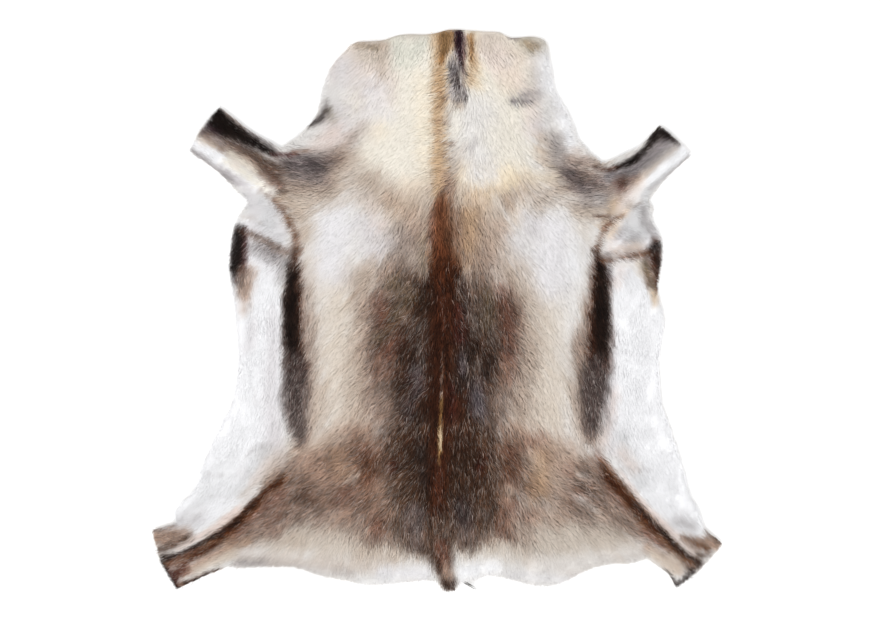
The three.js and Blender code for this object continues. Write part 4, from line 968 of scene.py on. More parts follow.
# hind legs
markings += [
    ("taupe", 0.85, 1.6, [(-32, -37, 1.8), (-38, -42, 2.4), (-44, -47, 2.2), (-50, -51, 1.6)]),
    ("rump red", 0.7, 1.4, [(-33.4, -38.6, 1.4), (-38, -42, 1.4), (-43, -47.4, 1.0)]),
    ("rump red", 0.35, 1.4, [(-36, -44, 1.4), (-34, -47, 1.2)]),
    ("taupe", 0.8, 1.0, [(-34, -33.8, 0.9), (-36.4, -36.4, 0.8)]),
    ("walnut", 0.9, 0.9, [(-32.8, -35.4, 0.8), (-35.4, -37.8, 0.8), (-38.4, -40.6, 0.9),
      (-41.4, -43.6, 1.0), (-44.6, -46.6, 1.2), (-49, -49.6, 1.2), (-53, -51.6, 1.1), (-57, -53, 1.1)]),
    ("chestnut", 0.75, 0.7, [(-33.4, -35.8, 0.3), (-37, -39, 0.5), (-40, -41.8, 0.7), (-43, -45, 0.8),
      (-46, -47.4, 0.7)]),
    ("black", 0.7, 0.6, [(-38.6, -40.6, 0.4), (-41, -43, 0.5), (-43, -45, 0.4)]),
    ("soot", 0.9, 0.6, [(-45, -46.2, 0.4), (-48.6, -48.2, 0.4), (-52, -50, 0.4), (-57, -52.2, 0.6)]),
    ("rump red", 0.6, 0.6, [(-50, -49.8, 0.4), (-54, -51.8, 0.5), (-56.6, -53.2, 0.4)]),
    ("chestnut", 0.85, 0.6, [(-47, -49.4, 0.4), (-51, -51.6, 0.5), (-54, -53.8, 0.6),
      (-55.6, -55.4, 0.5)]),
    ("blush", 0.95, 0.6, [(-55, -50.2, 0.35), (-50.4, -47.6, 0.5), (-46, -44.8, 0.7),
      (-42, -41.6, 0.7)]),
    ("greige", 0.6, 1.8, [(-41, -39, 0.8), (-37.6, -35, 1.2), (-34.6, -31.4, 1.6)]),
    ("mist", 0.7, 1.6, [(-43, -38, 1.0), (-39.6, -34.4, 1.8), (-36.6, -30, 1.8)]),
    ("blush", 0.4, 1.2, [(-39, -36, 0.8), (-35.6, -32, 0.8)]),
    ("rump rose", 0.85, 1.0, [(-54, -55.4, 1.0), (-49.6, -53, 1.2), (-45, -50.6, 1.0)]),
    ("beige", 0.8, 0.9, [(-51, -54.6, 0.6), (-47.4, -53, 0.8), (-43.4, -51.4, 1.0)]),
    ("ash", 0.6, 1.2, [(-42.6, -53.4, 0.5), (-37, -53.4, 0.7)]),
    ("rump tan", 0.6, 1.2, [(-44, -49, 0.8), (-40, -48.6, 0.8)]),
    ("rump red", 0.8, 1.0, [(-55.6, -55.4, 1.3), (-53.4, -54.4, 0.9)]),
    ("walnut", 0.9, 0.7, [(-55.4, -58, 0.5), (-52, -57, 0.6), (-49, -55.8, 0.4), (-46, -54.6, 0.2)]),
    ("soot", 0.8, 0.5, [(-55, -58.6, 0.35), (-51.6, -57, 0.4), (-48, -55.4, 0.25)]),
    ("maroon", 0.8, 0.8, [(-57, -55, 0.7), (-55.4, -57.4, 0.7)]),
    ("black", 0.85, 0.5, [(-58, -51.6, 0.3), (-58, -53.6, 0.45), (-56.6, -56, 0.35),
      (-55.2, -58.4, 0.3)]),
    ("taupe", 0.95, 1.1, [(-59.4, -48, 1.6), (-56, -47.8, 1.8), (-52.6, -47.4, 1.2)]),
    ("rump rose", 0.7, 0.9, [(-59.6, -48.4, 0.9), (-56, -47, 0.6), (-53, -46, 0.4)]),
    ("dark taupe", 0.85, 0.8, [(-58.6, -50.4, 0.7), (-56, -49.4, 0.7), (-53.4, -48, 0.5)]),
    ("blush", 0.7, 0.8, [(48.6, -53.2, 0.8), (50.6, -53.4, 0.6)]),
    ("beige", 0.6, 0.8, [(46.4, -52, 0.8)]),
    ("lilac grey", 0.5, 1.4, [(-41, -34, 1.2)]),
    ("dark taupe", 0.3, 0.9, [(-54.6, -53.2, 0.9)]),
    ("dark taupe", 0.7, 0.5, [(-60, -46.4, 0.3), (-57.4, -45.8, 0.35), (-55.4, -45.2, 0.2)]),
    ("ash", 0.5, 2.0, [(-54, -44.2, 0.8), (-51, -43.6, 1.4), (-50, -42.4, 0.8)]),
    # the next two strokes: thin grey lines across the left belly, painted shade in its creases
    ("ash", 0.35, 0.5, [(-49, -34.4, 0.15), (-45, -34.7, 0.2), (-41, -35.6, 0.15)]),
    ("ash", 0.3, 0.7, [(-48, -39, 0.2), (-44, -39.6, 0.25)]),
    ("mist", 0.4, 2.5, [(-51, -41, 2), (-46, -37, 3), (-43, -32, 2)]),
    ("mist", 0.75, 2.0, [(39, -27, 1.6), (40, -32, 1.6), (43, -36, 1.2)]),
    # a thin grey line on the left belly: painted shade in a crease
    ("ash", 0.35, 0.6, [(-40.6, -31, 0.2), (-38.4, -28.8, 0.25), (-35, -28.4, 0.2)]),
    ("ash", 0.35, 0.5, [(-38.5, -17, 0.12), (-38.5, -20, 0.12)]),
    ("taupe", 0.85, 1.6, [(32.4, -32, 1.6), (34, -36, 1.6), (40, -43.4, 1.8), (45, -48, 1.4)]),
    ("rump red", 0.6, 1.4, [(33.6, -29.4, 0.7), (34.8, -32.6, 1.1), (36.6, -36.6, 1.2),
      (40, -41.4, 1.0)]),
    ("walnut", 0.9, 0.9, [(34.6, -31.6, 0.6), (36.6, -35.2, 1.2), (39.6, -38.6, 1.4),
      (42.4, -42.2, 1.4), (45.6, -45.8, 1.5), (48.8, -48.8, 1.4), (51.6, -52, 1.2), (54, -53.2, 1.2)]),
    ("chestnut", 0.7, 0.7, [(36, -35.2, 0.5), (39.2, -38.6, 0.6), (42, -41.8, 0.6), (46, -46.4, 0.5)]),
    ("soot", 0.9, 0.6, [(41.6, -40.6, 0.35), (44.6, -43.8, 0.35), (48, -47.2, 0.4), (51.2, -50.6, 0.4),
      (54.8, -52.8, 0.5)]),
    ("russet", 0.5, 0.9, [(44, -46.6, 0.7), (47, -49.4, 0.6)]),
    ("blush", 0.75, 0.6, [(38.4, -33.8, 0.35), (41.4, -37.8, 0.3), (44.6, -41.8, 0.3), (48, -45, 0.5),
      (50.6, -47.6, 0.6), (54, -50.6, 0.7)]),
    ("rump rose", 0.8, 1.0, [(44.4, -50, 0.9), (48, -52.4, 1.2), (50.6, -54.6, 0.9)]),
    ("beige", 0.8, 0.9, [(45, -51, 0.8), (48.4, -53.2, 1.0), (50.4, -55, 0.6)]),
    ("dark taupe", 0.7, 0.9, [(53, -54.6, 0.6), (52, -53.4, 0.5)]),
    ("soot", 0.85, 0.5, [(48.2, -55, 0.3), (49.4, -57, 0.6), (50.4, -57.8, 0.6), (52, -56.8, 0.5),
      (53.4, -55.2, 0.5), (55.4, -53.2, 0.5)]),
    ("taupe", 0.95, 1.0, [(58, -48.8, 1.6), (55, -49.4, 1.5), (52, -48, 0.9)]),
    ("rump rose", 0.7, 0.9, [(58.6, -49.4, 0.7), (55.6, -48.6, 0.5)]),
    ("walnut", 0.7, 0.6, [(51.6, -47.4, 0.3), (55, -49.4, 0.4), (57, -50.2, 0.4)]),
    ("dark taupe", 0.85, 0.6, [(55, -51.6, 0.6), (57, -51.4, 0.5)]),
    ("dark taupe", 0.8, 0.5, [(56.4, -46.2, 0.35), (58, -47.4, 0.35), (59.8, -48.6, 0.4)]),
    ("ash", 0.6, 1.8, [(50.6, -44.4, 1.2), (53.6, -45.6, 1.0)]),
    ("blush", 0.6, 1.6, [(39, -30.4, 1.2), (41.4, -33.4, 0.9)]),
    # a thin grey line on the right belly: painted shade in a crease
    ("ash", 0.35, 0.6, [(40, -33.4, 0.2), (44.4, -33.8, 0.2)]),
    ("ash", 0.35, 0.5, [(36, -8.4, 0.15), (38, -9.4, 0.15)]),
]
# last touches on the neck, the chest and the back
markings += [
    ("apricot", 0.5, 1.4, [(7, 54.4, 0.9), (7.2, 50.4, 1.0), (6.6, 47.6, 0.6)]),
    ("white", 0.7, 2.0, [(22.8, 52, 1.6), (24, 47.6, 2.0)]),
    ("sage", 0.5, 2.0, [(19, 50.4, 1.2), (19.6, 48, 1.0)]),
    ("snow grey", 0.6, 2.2, [(8, 28, 1.8), (11.6, 28.2, 1.6)]),
    ("cream", 0.5, 2.2, [(15.4, 27.4, 1.6), (20.4, 27.4, 1.6), (24.4, 28, 1.0)]),
    ("dove", 0.5, 1.6, [(-16, 23, 1.2), (-12.6, 21.6, 1.2)]),
    ("rust", 0.3, 1.4, [(0.6, 12, 1.4), (0.8, 6, 1.4)]),
    ("stripe", 0.5, 1.4, [(5.8, 6, 1.0), (6, 2, 1.0), (5.6, -3, 0.9)]),
]
# last touches on the forelegs and in the armpits
markings += [
    ("ivory", 0.8, 0.8, [(-44, 33.4, 0.6), (-41, 31.4, 0.8), (-38.6, 29.6, 0.6)]),
    # grey line along the lower edge of the left foreleg, strengthened: painted shadow under the edge
    ("ash", 0.7, 0.5, [(-51.6, 33.2, 0.3), (-49, 31.4, 0.3), (-46, 29.4, 0.3), (-43.6, 27.6, 0.25)]),
    ("mist", 0.8, 2.0, [(-40.4, 24, 1.0), (-38.5, 21, 1.8), (-36, 19, 1.6)]),
    ("lilac grey", 0.5, 1.2, [(-39.6, 23.6, 0.8), (-38.5, 20.8, 1.2)]),
    ("taupe", 0.7, 0.8, [(-33, 21, 0.4), (-31.2, 18.4, 0.7), (-30, 15.4, 0.7), (-29.6, 13, 0.5)]),
    ("hazel", 0.6, 0.5, [(-32.6, 20.4, 0.25), (-31, 17.8, 0.35), (-30, 15.2, 0.3)]),
    ("ash", 0.5, 1.2, [(-33.3, 9, 0.7), (-33.4, 5.8, 0.7)]),
    ("white", 0.8, 0.7, [(-33.6, 2.4, 0.4), (-33.4, -0.6, 0.4)]),
    ("ash", 0.5, 1.2, [(44, 32.4, 1.0), (47.4, 34.6, 1.2)]),
    ("soot", 0.8, 0.6, [(44.6, 35.4, 0.4), (45.8, 37.2, 0.8), (47.2, 37.2, 0.5)]),
    ("blush", 0.5, 1.2, [(38.6, 22, 0.8), (41, 24.6, 0.8), (43.4, 26.8, 0.6)]),
    ("mist", 0.4, 1.8, [(34, 23.4, 1.4)]),
    ("pearl", 0.7, 0.9, [(30.4, 14, 0.8), (30, 10, 0.7)]),
    ("white", 0.6, 1.4, [(29, 15, 1.2), (28.6, 11, 1.2), (28.6, 7, 1.0)]),
    ("snow grey", 0.6, 0.6, [(31.6, 13, 0.4), (31.2, 10, 0.4)]),
    ("taupe", 0.6, 0.8, [(45.2, 9, 0.5), (45, 6, 0.6)]),
    ("pearl", 0.7, 0.5, [(47.2, 8.6, 0.3), (46.9, 5.6, 0.4)]),
    ("dove", 0.7, 0.8, [(50, 34.2, 0.6), (46.6, 31.6, 0.8), (43.8, 29, 0.7)]),
    ("ash", 0.6, 0.8, [(49.4, 34.8, 0.5), (46, 32.6, 0.8), (43.6, 30.4, 0.6)]),
    ("mist", 0.8, 0.4, [(42.8, 24.4, 0.25), (45.6, 26.8, 0.25), (48.6, 29.6, 0.25), (50.4, 31.2, 0.2)]),
    ("dove", 0.5, 1.4, [(40.2, 22.4, 1.0), (42.2, 24.8, 0.8), (41, 26.8, 0.6)]),
    ("blush", 0.5, 1.2, [(38.6, 8.4, 0.8), (37.8, 5.6, 0.6)]),
]
# last touches on the rump and the hind legs
markings += [
    ("dark taupe", 0.4, 1.6, [(-16.4, -31.6, 1.2), (-13.6, -33.6, 1.4)]),
    ("dark taupe", 0.4, 1.6, [(12, -32, 1.4), (15.6, -33.4, 1.4)]),
    ("fawn", 0.35, 2.0, [(20.6, -36, 1.4), (20, -40, 1.2)]),
    ("taupe", 0.35, 1.6, [(-14.6, -47.8, 1.4), (-10, -48.4, 1.2)]),
    ("taupe", 0.35, 1.4, [(15, -43, 1.2), (15.4, -47.6, 1.2)]),
    ("taupe", 0.4, 1.6, [(-29.6, -42.6, 1.4)]),
    ("walnut", 0.5, 0.9, [(-41, -43.8, 0.7), (-38.4, -41.4, 0.8)]),
    ("taupe", 0.5, 1.2, [(-54.6, -53, 1.0)]),
    ("taupe", 0.5, 1.0, [(-58, -47.4, 0.8), (-55, -47.2, 0.8)]),
    ("maroon", 0.4, 0.8, [(-54.6, -55.2, 0.6), (-53.4, -53.6, 0.4)]),
    ("soot", 0.8, 0.5, [(-53.4, -57.2, 0.3), (-51.6, -57, 0.35), (-49.4, -55.8, 0.3),
      (-46.6, -54.6, 0.15)]),
    ("taupe", 0.4, 1.0, [(-40.4, -45.6, 0.6), (-36, -43.4, 0.8)]),
    ("beige", 0.6, 1.0, [(49.6, -52, 0.9), (51.4, -53.6, 0.7)]),
    ("dark taupe", 0.6, 0.8, [(55.4, -52.8, 0.6), (54, -54, 0.5)]),
]


def stroke_distance(x, y, points):
    """Distance to a stroke's edge, below 0 inside it: the distance to the line through the stroke's
    points less the half width there, the least over its stretches."""
    points = np.array(points, float)
    if len(points) == 1:
        points = np.vstack([points, points + (dot_length, 0, 0)])
    nearest = np.full(x.shape, np.inf)
    for start, end in zip(points[:-1], points[1:]):
        step = end - start
        share = ((x - start[0]) * step[0] + (y - start[1]) * step[1]) / (step[0] ** 2 + step[1] ** 2)
        share = np.clip(share, 0, 1)
        gap = np.hypot(x - start[0] - share * step[0], y - start[1] - share * step[1])
        nearest = np.minimum(nearest, gap - start[2] - share * step[2])
    return nearest


def smooth(t):
    """0 below 0, 1 above 1, and the even curve 3t² - 2t³ between."""
    t = np.clip(t, 0, 1)
    return t * t * (3 - 2 * t)


def paint_coat():
    """The coat's colours on a grid: each marking is mixed over the ones before it by its strength times
    a soft edge, and noise along the hair moves that edge by part of its softness, so that it feathers."""
    x, y = field_points(colour_step)
    feather = sum(look_up(combed(*grain), x, y) * share for grain, share in feathering)
    x, y = (x - mark_origin[0]) / cm, (y - mark_origin[1]) / cm
    colours = np.zeros(x.shape + (3,))
    for tone, strength, softness, points in markings:
        reach = softness * edge_reach + max(p[2] for p in points)
        low, high = np.min(points, 0) - reach, np.max(points, 0) + reach
        columns = np.flatnonzero((x[0] > low[0]) & (x[0] < high[0]))
        rows = np.flatnonzero((y[:, 0] > low[1]) & (y[:, 0] < high[1]))
        part = slice(rows[0], rows[-1] + 1), slice(columns[0], columns[-1] + 1)
        gap = stroke_distance(x[part], y[part], points) + softness * feather[part]
        cover = strength * smooth(0.5 - gap / (2 * softness))
        colours[part] += cover[..., None] * (np.array(coat_tones[tone]) - colours[part])
    return colours


# ------------------------------------------------------------------ the underfur
# Fine crimped wool close to the skin, more than half as deep as the coat. It is painted darker than the
# guard hair over it, as shade under the locks, and shows only between them.

underfur_mesh_step = 0.012
underfur_inset = 0.0015
underfur_share = (0.55, 0.84)  # of the coat's depth, where the coat is dark and where it is pale
underfur_painted_shade = (0.70, 0.97)  # share of the guard hair's colour that the wool keeps under the painted shade of the locks, in light reflected, for the same two
underfur_least = 0.001
crimp_grain = (0.012, 0.024, 21)  # width and length of the tufts, and the seed
crimp_height = 0.0008

coat_colours = paint_coat()
white_light = 1.10  # how bright a white that reflects everything comes out, 1 being a full white
hidden_light = (0.82, 0.82, 0.885, 0.930, 0.970)  # what the hair's own shade leaves of that: less where
hidden_levels = (60, 140, 190, 225, 244)  # the hair is brown than where it is white, by brightness
edge_light = 0.13  # how much more light reaches pale hair by the cut edge, where less hair lies over it
edge_width = 0.07
edge_white = 0.75  # share of that which white hair goes without
darkest, brightest = 0.002, 0.93  # shares of the light that the blackest and the whitest hair reflects
shine = 0.004  # what the hair's satin surface sends back besides its colour
pale_from, pale_range = 0.50, 0.38  # brightness above which hair counts as pale, and until it fully does
white_from, white_range = 0.88, 0.06  # and the same for white


def reflected(colours, shade=1.0):
    """Share of red, green and blue light that the hair reflects to look a given colour: the display's
    curve undone, divided by the light it stands in."""
    level = np.clip(colours / 255, 0, 1)
    light = np.where(level < 0.04045, level / 12.92, ((level + 0.055) / 1.055) ** 2.4)
    reaching = white_light * np.interp(colours.mean(-1, keepdims=True), hidden_levels, hidden_light)
    return np.clip(light * shade / reaching - shine, darkest, brightest)


def colour_attribute(mesh, colours):
    """Stores a red, green and blue for each vertex as the attribute that the coat's materials read."""
    rows = np.ones((len(colours), 4), np.float32)
    rows[:, :3] = colours
    mesh.attributes.new("coat colour", "FLOAT_COLOR", "POINT").data.foreach_set("color", rows.ravel())


def coat_brightness(x, y):
    """How bright the coat looks, from 0 to 1."""
    return look_up(coat_colours, x, y).mean(-1) / 255


def paleness(x, y):
    """0 where the coat is brown or darker, 1 where it is nearly white, and in between by its brightness."""
    return smooth((coat_brightness(x, y) - pale_from) / pale_range)


def edge_gain(x, y):
    """What the hair's colour is divided by near the cut edge, to look the same there as on the deep coat.
    It is most for cream and light grey hair, and little for white."""
    white = smooth((coat_brightness(x, y) - white_from) / white_range)
    gain = edge_light * (paleness(x, y) - edge_white * white)
    return 1 + gain * (1 - smooth(look_up(depth, x, y) / edge_width))


def underfur_top(x, y):
    """Height of the wool: part of the coat's depth above the skin, uneven by a millimetre or two."""
    crimp = look_up(combed(*crimp_grain), x, y) * crimp_height
    room = look_up(coat_top, x, y) - skin_topside(x, y)
    share = np.interp(paleness(x, y), (0, 1), underfur_share)
    return skin_topside(x, y) + np.maximum(room * share + crimp, underfur_least)


def wool():
    """Matt crimped wool in the coat's own colours, with curls in the bump."""
    material, nodes, links, surface = new_material("underfur wool")
    colour = nodes.new("ShaderNodeAttribute")
    colour.attribute_name = "coat colour"
    place = nodes.new("ShaderNodeTexCoord")
    curls = set_inputs(nodes.new("ShaderNodeTexNoise"), Scale=420, Distortion=2.5)
    bump = set_inputs(nodes.new("ShaderNodeBump"), Strength=0.7, Distance=0.0015)
    links.new(place.outputs["Object"], curls.inputs["Vector"])
    links.new(curls.outputs["Fac"], bump.inputs["Height"])
    links.new(bump.outputs["Normal"], surface.inputs["Normal"])
    links.new(colour.outputs["Color"], surface.inputs["Base Color"])
    set_inputs(surface, Roughness=0.95)
    return material


underfur = cut_sheet("underfur", underfur_mesh_step, underfur_inset, skin_topside, underfur_top)
underfur_places = np.empty(len(underfur.data.vertices) * 3)
underfur.data.vertices.foreach_get("co", underfur_places)
underfur_x, underfur_y = underfur_places.reshape(-1, 3)[:, :2].T
# the wool takes the coat's colour, darkened as painted shade
underfur_painted_shade_factor = np.interp(paleness(underfur_x, underfur_y), (0, 1), underfur_painted_shade)[:, None]
underfur_painted_shade_factor = underfur_painted_shade_factor / edge_gain(underfur_x, underfur_y)[:, None]
colour_attribute(underfur.data, reflected(look_up(coat_colours, underfur_x, underfur_y), underfur_painted_shade_factor))
underfur.data.materials.append(wool())
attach(underfur, "root")


# ------------------------------------------------------------------ the guard hair
# Hollow winter hair, straight and pointed, that lies in small locks from neck to tail. A lock is a closed
# spindle: it leaves the skin steeply, bends over and lies almost flat for the rest of its length.

bands = ("coat_neck", "coat_shoulders", "coat_back", "coat_loins", "coat_rump")
most_locks = 32800  # in a band
lock_spacing = 0.0021  # where the hair is closest, on the legs and the dark parts
lock_room = 0.0005  # no lock grows nearer to the cut edge
thinned_deep, deep_coat = 0.30, 0.06  # share left out on the deep coat, this far from the cut edge
thinned_pale = 0.16  # and share left out where the coat is pale
root_depth = 0.0003  # of a lock's root in the skin

# each of these is the value on brown hair, and how much less it is on pale hair
lock_turn = (0.22, 0.12)  # radians by which a lock lies askew
swirl_turn = (0.20, 0.08)  # and by which it does so with the locks round it
reach_part = (0.80, -0.20)
radius_part = (0.88, -0.12)
lift_drop = (0.26, 0.18)  # how far the lower tips stay below the highest, as a share of their height
outward_normal = (0.40, 0.26)  # how much of a lock's own roundness shows in its shading

lock_reach = (0.0100, 0.72)  # metres, plus this share of the coat's depth there
reach_spread = (0.72, 1.22)
overhang = 0.004  # the longest tips pass the cut edge by this much
overhang_spread = (-0.2, 1)
tuck_rounds = 3  # how often a lock is shortened that passes the cut edge by more
shortest_reach = 0.2  # share of its reach that is left each time, at the least
least_fall = 1e-4  # metres that its tip is nearer to the cut edge than its root, at the least
least_room = 0.003  # for the hair under a lock's tip
most_room = 1.15  # times that, for locks that grow where the coat is deeper
lock_lift = 1.04  # height of the highest tips, as a share of the coat's depth
clump_lift = 0.03  # by which tufts stand higher or lower
lock_radius = 0.00115
leg_radius = 0.00085
leg_hair, long_hair = 0.010, 0.022  # depth of the coat where the locks are as thin and as thick as that
radius_spread = (0.75, 1.3)
bend = 0.42  # where along its reach a lock has bent over
bend_height = 0.84  # share of its height that it has there
bend_room = 1.02  # and the most, as a share of the coat's depth
spindle_angles = np.radians((-90, 30, 150))
spindle_roll = 0.6  # radians

colour_slip, colour_cross = 0.16, 0.0012  # how far off a lock finds its colour: share of its reach, metres
colour_from = (0.6, 0.4)  # shares of the bend and the tip in the place where it looks
dark_from, dark_range = 0.10, 0.80  # brightness at which hair counts as dark, and until it doesn't at all
streak_spread = (0.006, 0.38)  # how strong the streaks are, on white hair and more on dark hair
streak_parts = (0.55, 0.65, 0.65)  # of the lock alone, of the strand and of the tuft
streak_limits = (-2.2, 2.4)
streak_balance = 0.6  # keeps the mean brightness where the streaks are strong
frosted_locks = 0.30  # share of the locks with pale tips, in the brown of the saddle
frosted_levels = (38, 64, 120, 175)  # none below the first brightness, all from the second to the third
frosted_redness = (34, 52)  # red less blue: none in the red-brown hair of the spine
frost_colour = (148, 141, 137)
frost_mix = 0.66  # how much of the coat's own colour a frosted tip keeps
frost_tip = 0.9
unfrosted_least = 0.4  # the other locks are darker to make up for the frost, down to this share
root_painted_shadow = 0.45  # painted shadow at the root, as a share of dark hair's colour
tip_light = 1.04
upward_normal = 0.75  # how much of the coat's flatness shows in it
# a lock's vertices: 0 the root, 1 to 3 round the bend, 4 the tip
lock_faces = np.array([(0, 2, 1), (0, 3, 2), (0, 1, 3), (4, 1, 2), (4, 2, 3), (4, 3, 1)])
lock_map = np.array([(0.5, 0.05), (0.1, 0.5), (0.5, 0.5), (0.9, 0.5), (0.5, 0.95)])  # in its cell
draws = np.random.default_rng(7)


def lock_roots():
    """Places of the locks: a square grid, each point moved by up to half a step, and thinned by chance to
    the share wanted there, which is whole on thin, short hair and less on the deep coat."""
    x, y = field_points(lock_spacing)
    x = (x + draws.uniform(-0.5, 0.5, x.shape) * lock_spacing).ravel()
    y = (y + draws.uniform(-0.5, 0.5, y.shape) * lock_spacing).ravel()
    inside = look_up(depth, x, y)
    wanted = 1 - thinned_deep * smooth(inside / deep_coat) - thinned_pale * paleness(x, y)
    kept = (inside > lock_room) & (draws.random(x.shape) < wanted)
    return x[kept], y[kept]


def for_hair(pair, pale):
    """A value that is the first of the pair on brown hair, and less by the second on pale hair."""
    return pair[0] - pair[1] * pale


def spindles(start, along, reach, ground, rise, radius):
    """Vertices of hairs or locks, five for each: the root, three round the bend and the tip. Each has a
    place to start, a direction, a reach, the height of the ground, how far it rises above that at the bend
    and at the tip, and a radius."""
    side = np.stack([-along[:, 1], along[:, 0]], 1)
    roll = draws.uniform(-spindle_roll, spindle_roll, len(start))
    rows = np.empty((len(start), 5, 3))
    rows[:, 0] = np.column_stack([start, ground])
    for k, angle in enumerate(spindle_angles):
        out, up = np.cos(angle + roll) * radius, np.sin(angle + roll) * radius
        rows[:, 1 + k, :2] = start + along * (reach * bend)[:, None] + side * out[:, None]
        rows[:, 1 + k, 2] = ground + rise[:, 0] + up
    rows[:, 4] = np.column_stack([start + along * reach[:, None], ground + rise[:, 1]])
    return rows


def locks(x, y):
    """Vertices of the locks. The reach of a lock is shortened where its tip would pass the cut edge by
    more than the overhang."""
    count = len(x)
    lie_here = look_up(lie, x, y)
    pale = paleness(x, y)
    turn = draws.normal(0, 1, count) * for_hair(lock_turn, pale)
    turn = turn + look_up(swirl, x, y) * for_hair(swirl_turn, pale)
    along = np.stack([lie_here[:, 0] * np.cos(turn) - lie_here[:, 1] * np.sin(turn),
                      lie_here[:, 0] * np.sin(turn) + lie_here[:, 1] * np.cos(turn)], 1)
    ground = skin_topside(x, y) - root_depth
    room = look_up(coat_top, x, y) - ground
    reach = (lock_reach[0] + lock_reach[1] * room) * draws.uniform(*reach_spread, count)
    reach = reach * for_hair(reach_part, pale)
    spare = overhang * draws.uniform(*overhang_spread, count)
    for _ in range(tuck_rounds):
        tip_depth = look_up(depth, x + along[:, 0] * reach, y + along[:, 1] * reach)
        drop = np.maximum(look_up(depth, x, y) - tip_depth, least_fall)
        allowed = (look_up(depth, x, y) + spare) / drop
        reach = np.where(tip_depth < -spare, reach * np.clip(allowed, shortest_reach, 1), reach)
    tip_x, tip_y = x + along[:, 0] * reach, y + along[:, 1] * reach
    tip_room = np.maximum(look_up(coat_top, tip_x, tip_y) - skin_topside(tip_x, tip_y), least_room)
    lift = lock_lift - draws.random(count) * for_hair(lift_drop, pale)
    lift = lift + look_up(clumps, x, y) * clump_lift * (1 - pale)
    height = np.clip(room, tip_room, tip_room * most_room) * lift
    radius = leg_radius + (lock_radius - leg_radius) * smooth((room - leg_hair) / (long_hair - leg_hair))
    radius = radius * draws.uniform(*radius_spread, count) * for_hair(radius_part, pale)
    room_there = room + (tip_room - room) * bend
    rise = np.stack([np.minimum(height * bend_height, room_there * bend_room), height], 1)
    return spindles(np.stack([x, y], 1), along, reach, ground, rise, radius)


def lock_shades(x, y, rows):
    """Colours of the five vertices of each lock. A lock takes the coat's colour a little way off along
    the hair, its own brightness, and a paler or darker streak that it shares with those beside it; the
    root is darkened as painted shadow, and some locks of the saddle have frosted tips."""
    count = len(x)
    lie_here = look_up(lie, x, y)
    reach = np.linalg.norm(rows[:, 4, :2] - rows[:, 0, :2], axis=1)
    slip = draws.normal(0, colour_slip, count) * reach
    cross = draws.normal(0, colour_cross, count)
    shift = np.stack([lie_here[:, 0] * slip - lie_here[:, 1] * cross,
                      lie_here[:, 1] * slip + lie_here[:, 0] * cross], 1)
    middle = rows[:, 1, :2] * colour_from[0] + rows[:, 4, :2] * colour_from[1] + shift
    middle = look_up(coat_colours, *middle.T)
    tip = look_up(coat_colours, *(rows[:, 4, :2] + shift).T)
    level = middle.mean(1)
    darkness = 1 - smooth((level / 255 - dark_from) / dark_range)
    spread = streak_spread[0] + streak_spread[1] * darkness
    streak = draws.normal(0, streak_parts[0], count)
    streak = streak + look_up(strands, x, y) * streak_parts[1] + look_up(clumps, x, y) * streak_parts[2]
    gain = np.exp(np.clip(streak, *streak_limits) * spread - spread ** 2 * streak_balance) / edge_gain(x, y)
    redness = middle[:, 0] - middle[:, 2]
    share = frosted_locks * np.interp(level, frosted_levels, (0, 1, 1, 0))
    share = (share * np.interp(redness, frosted_redness, (1, 0)))[:, None]
    frost = reflected(middle * frost_mix + np.array(frost_colour) * (1 - frost_mix))
    frosted = draws.random((count, 1)) < share
    middle, tip = reflected(middle), reflected(tip)
    plain = [np.maximum((light - share * frost) / (1 - share), light * unfrosted_least)
             for light in (middle, tip)]
    middle = np.where(frosted, frost, plain[0]) * gain[:, None]
    tip = np.where(frosted, frost * frost_tip, plain[1]) * gain[:, None]
    shades = np.empty((count, 5, 3))
    # the root vertex is darkened as painted shadow
    shades[:, 0] = middle * (1 - root_painted_shadow * darkness)[:, None]
    shades[:, 1:4] = middle[:, None]
    shades[:, 4] = tip * tip_light
    return np.clip(shades, darkest, brightest)


def lock_normals(rows):
    """Direction that each vertex is shaded by: part straight up from the coat, part out from the middle
    of the lock, so that the locks are rounded and the coat still reads as one surface, more so where it
    is pale."""
    out = rows - rows[:, 1:4].mean(1, keepdims=True)
    out /= np.maximum(np.linalg.norm(out, axis=-1, keepdims=True), 1e-9)
    normal = out * for_hair(outward_normal, paleness(rows[:, 1, 0], rows[:, 1, 1]))[:, None, None]
    normal[..., 2] += upward_normal
    return normal / np.linalg.norm(normal, axis=-1, keepdims=True)


def hair_mesh(name, rows, shades):
    """One mesh of many locks: the five vertices and six faces of each, its colours, its shading and a map
    that gives every lock a cell of its own, along the lock in v."""
    count = len(rows)
    mesh = bpy.data.meshes.new(name)
    faces = (lock_faces[None] + (np.arange(count) * 5)[:, None, None]).reshape(-1, 3)
    mesh.vertices.add(count * 5)
    mesh.vertices.foreach_set("co", rows.astype(np.float32).ravel())
    mesh.loops.add(faces.size)
    mesh.loops.foreach_set("vertex_index", faces.astype(np.int32).ravel())
    mesh.polygons.add(len(faces))
    mesh.polygons.foreach_set("loop_start", np.arange(0, faces.size, 3, dtype=np.int32))
    mesh.update(calc_edges=True)
    colour_attribute(mesh, shades.reshape(-1, 3))
    side = int(np.ceil(np.sqrt(count)))
    cell = np.stack([np.arange(count) % side, np.arange(count) // side], 1)
    place = ((cell[:, None] + lock_map[None]) / side).reshape(-1, 2)
    mesh.uv_layers.new(name="OFBake").data.foreach_set("uv", place[faces.ravel()].astype(np.float32).ravel())
    mesh.shade_smooth()
    mesh.normals_split_custom_set_from_vertices(lock_normals(rows).reshape(-1, 3).astype(np.float32))
    return in_scene(name, mesh)


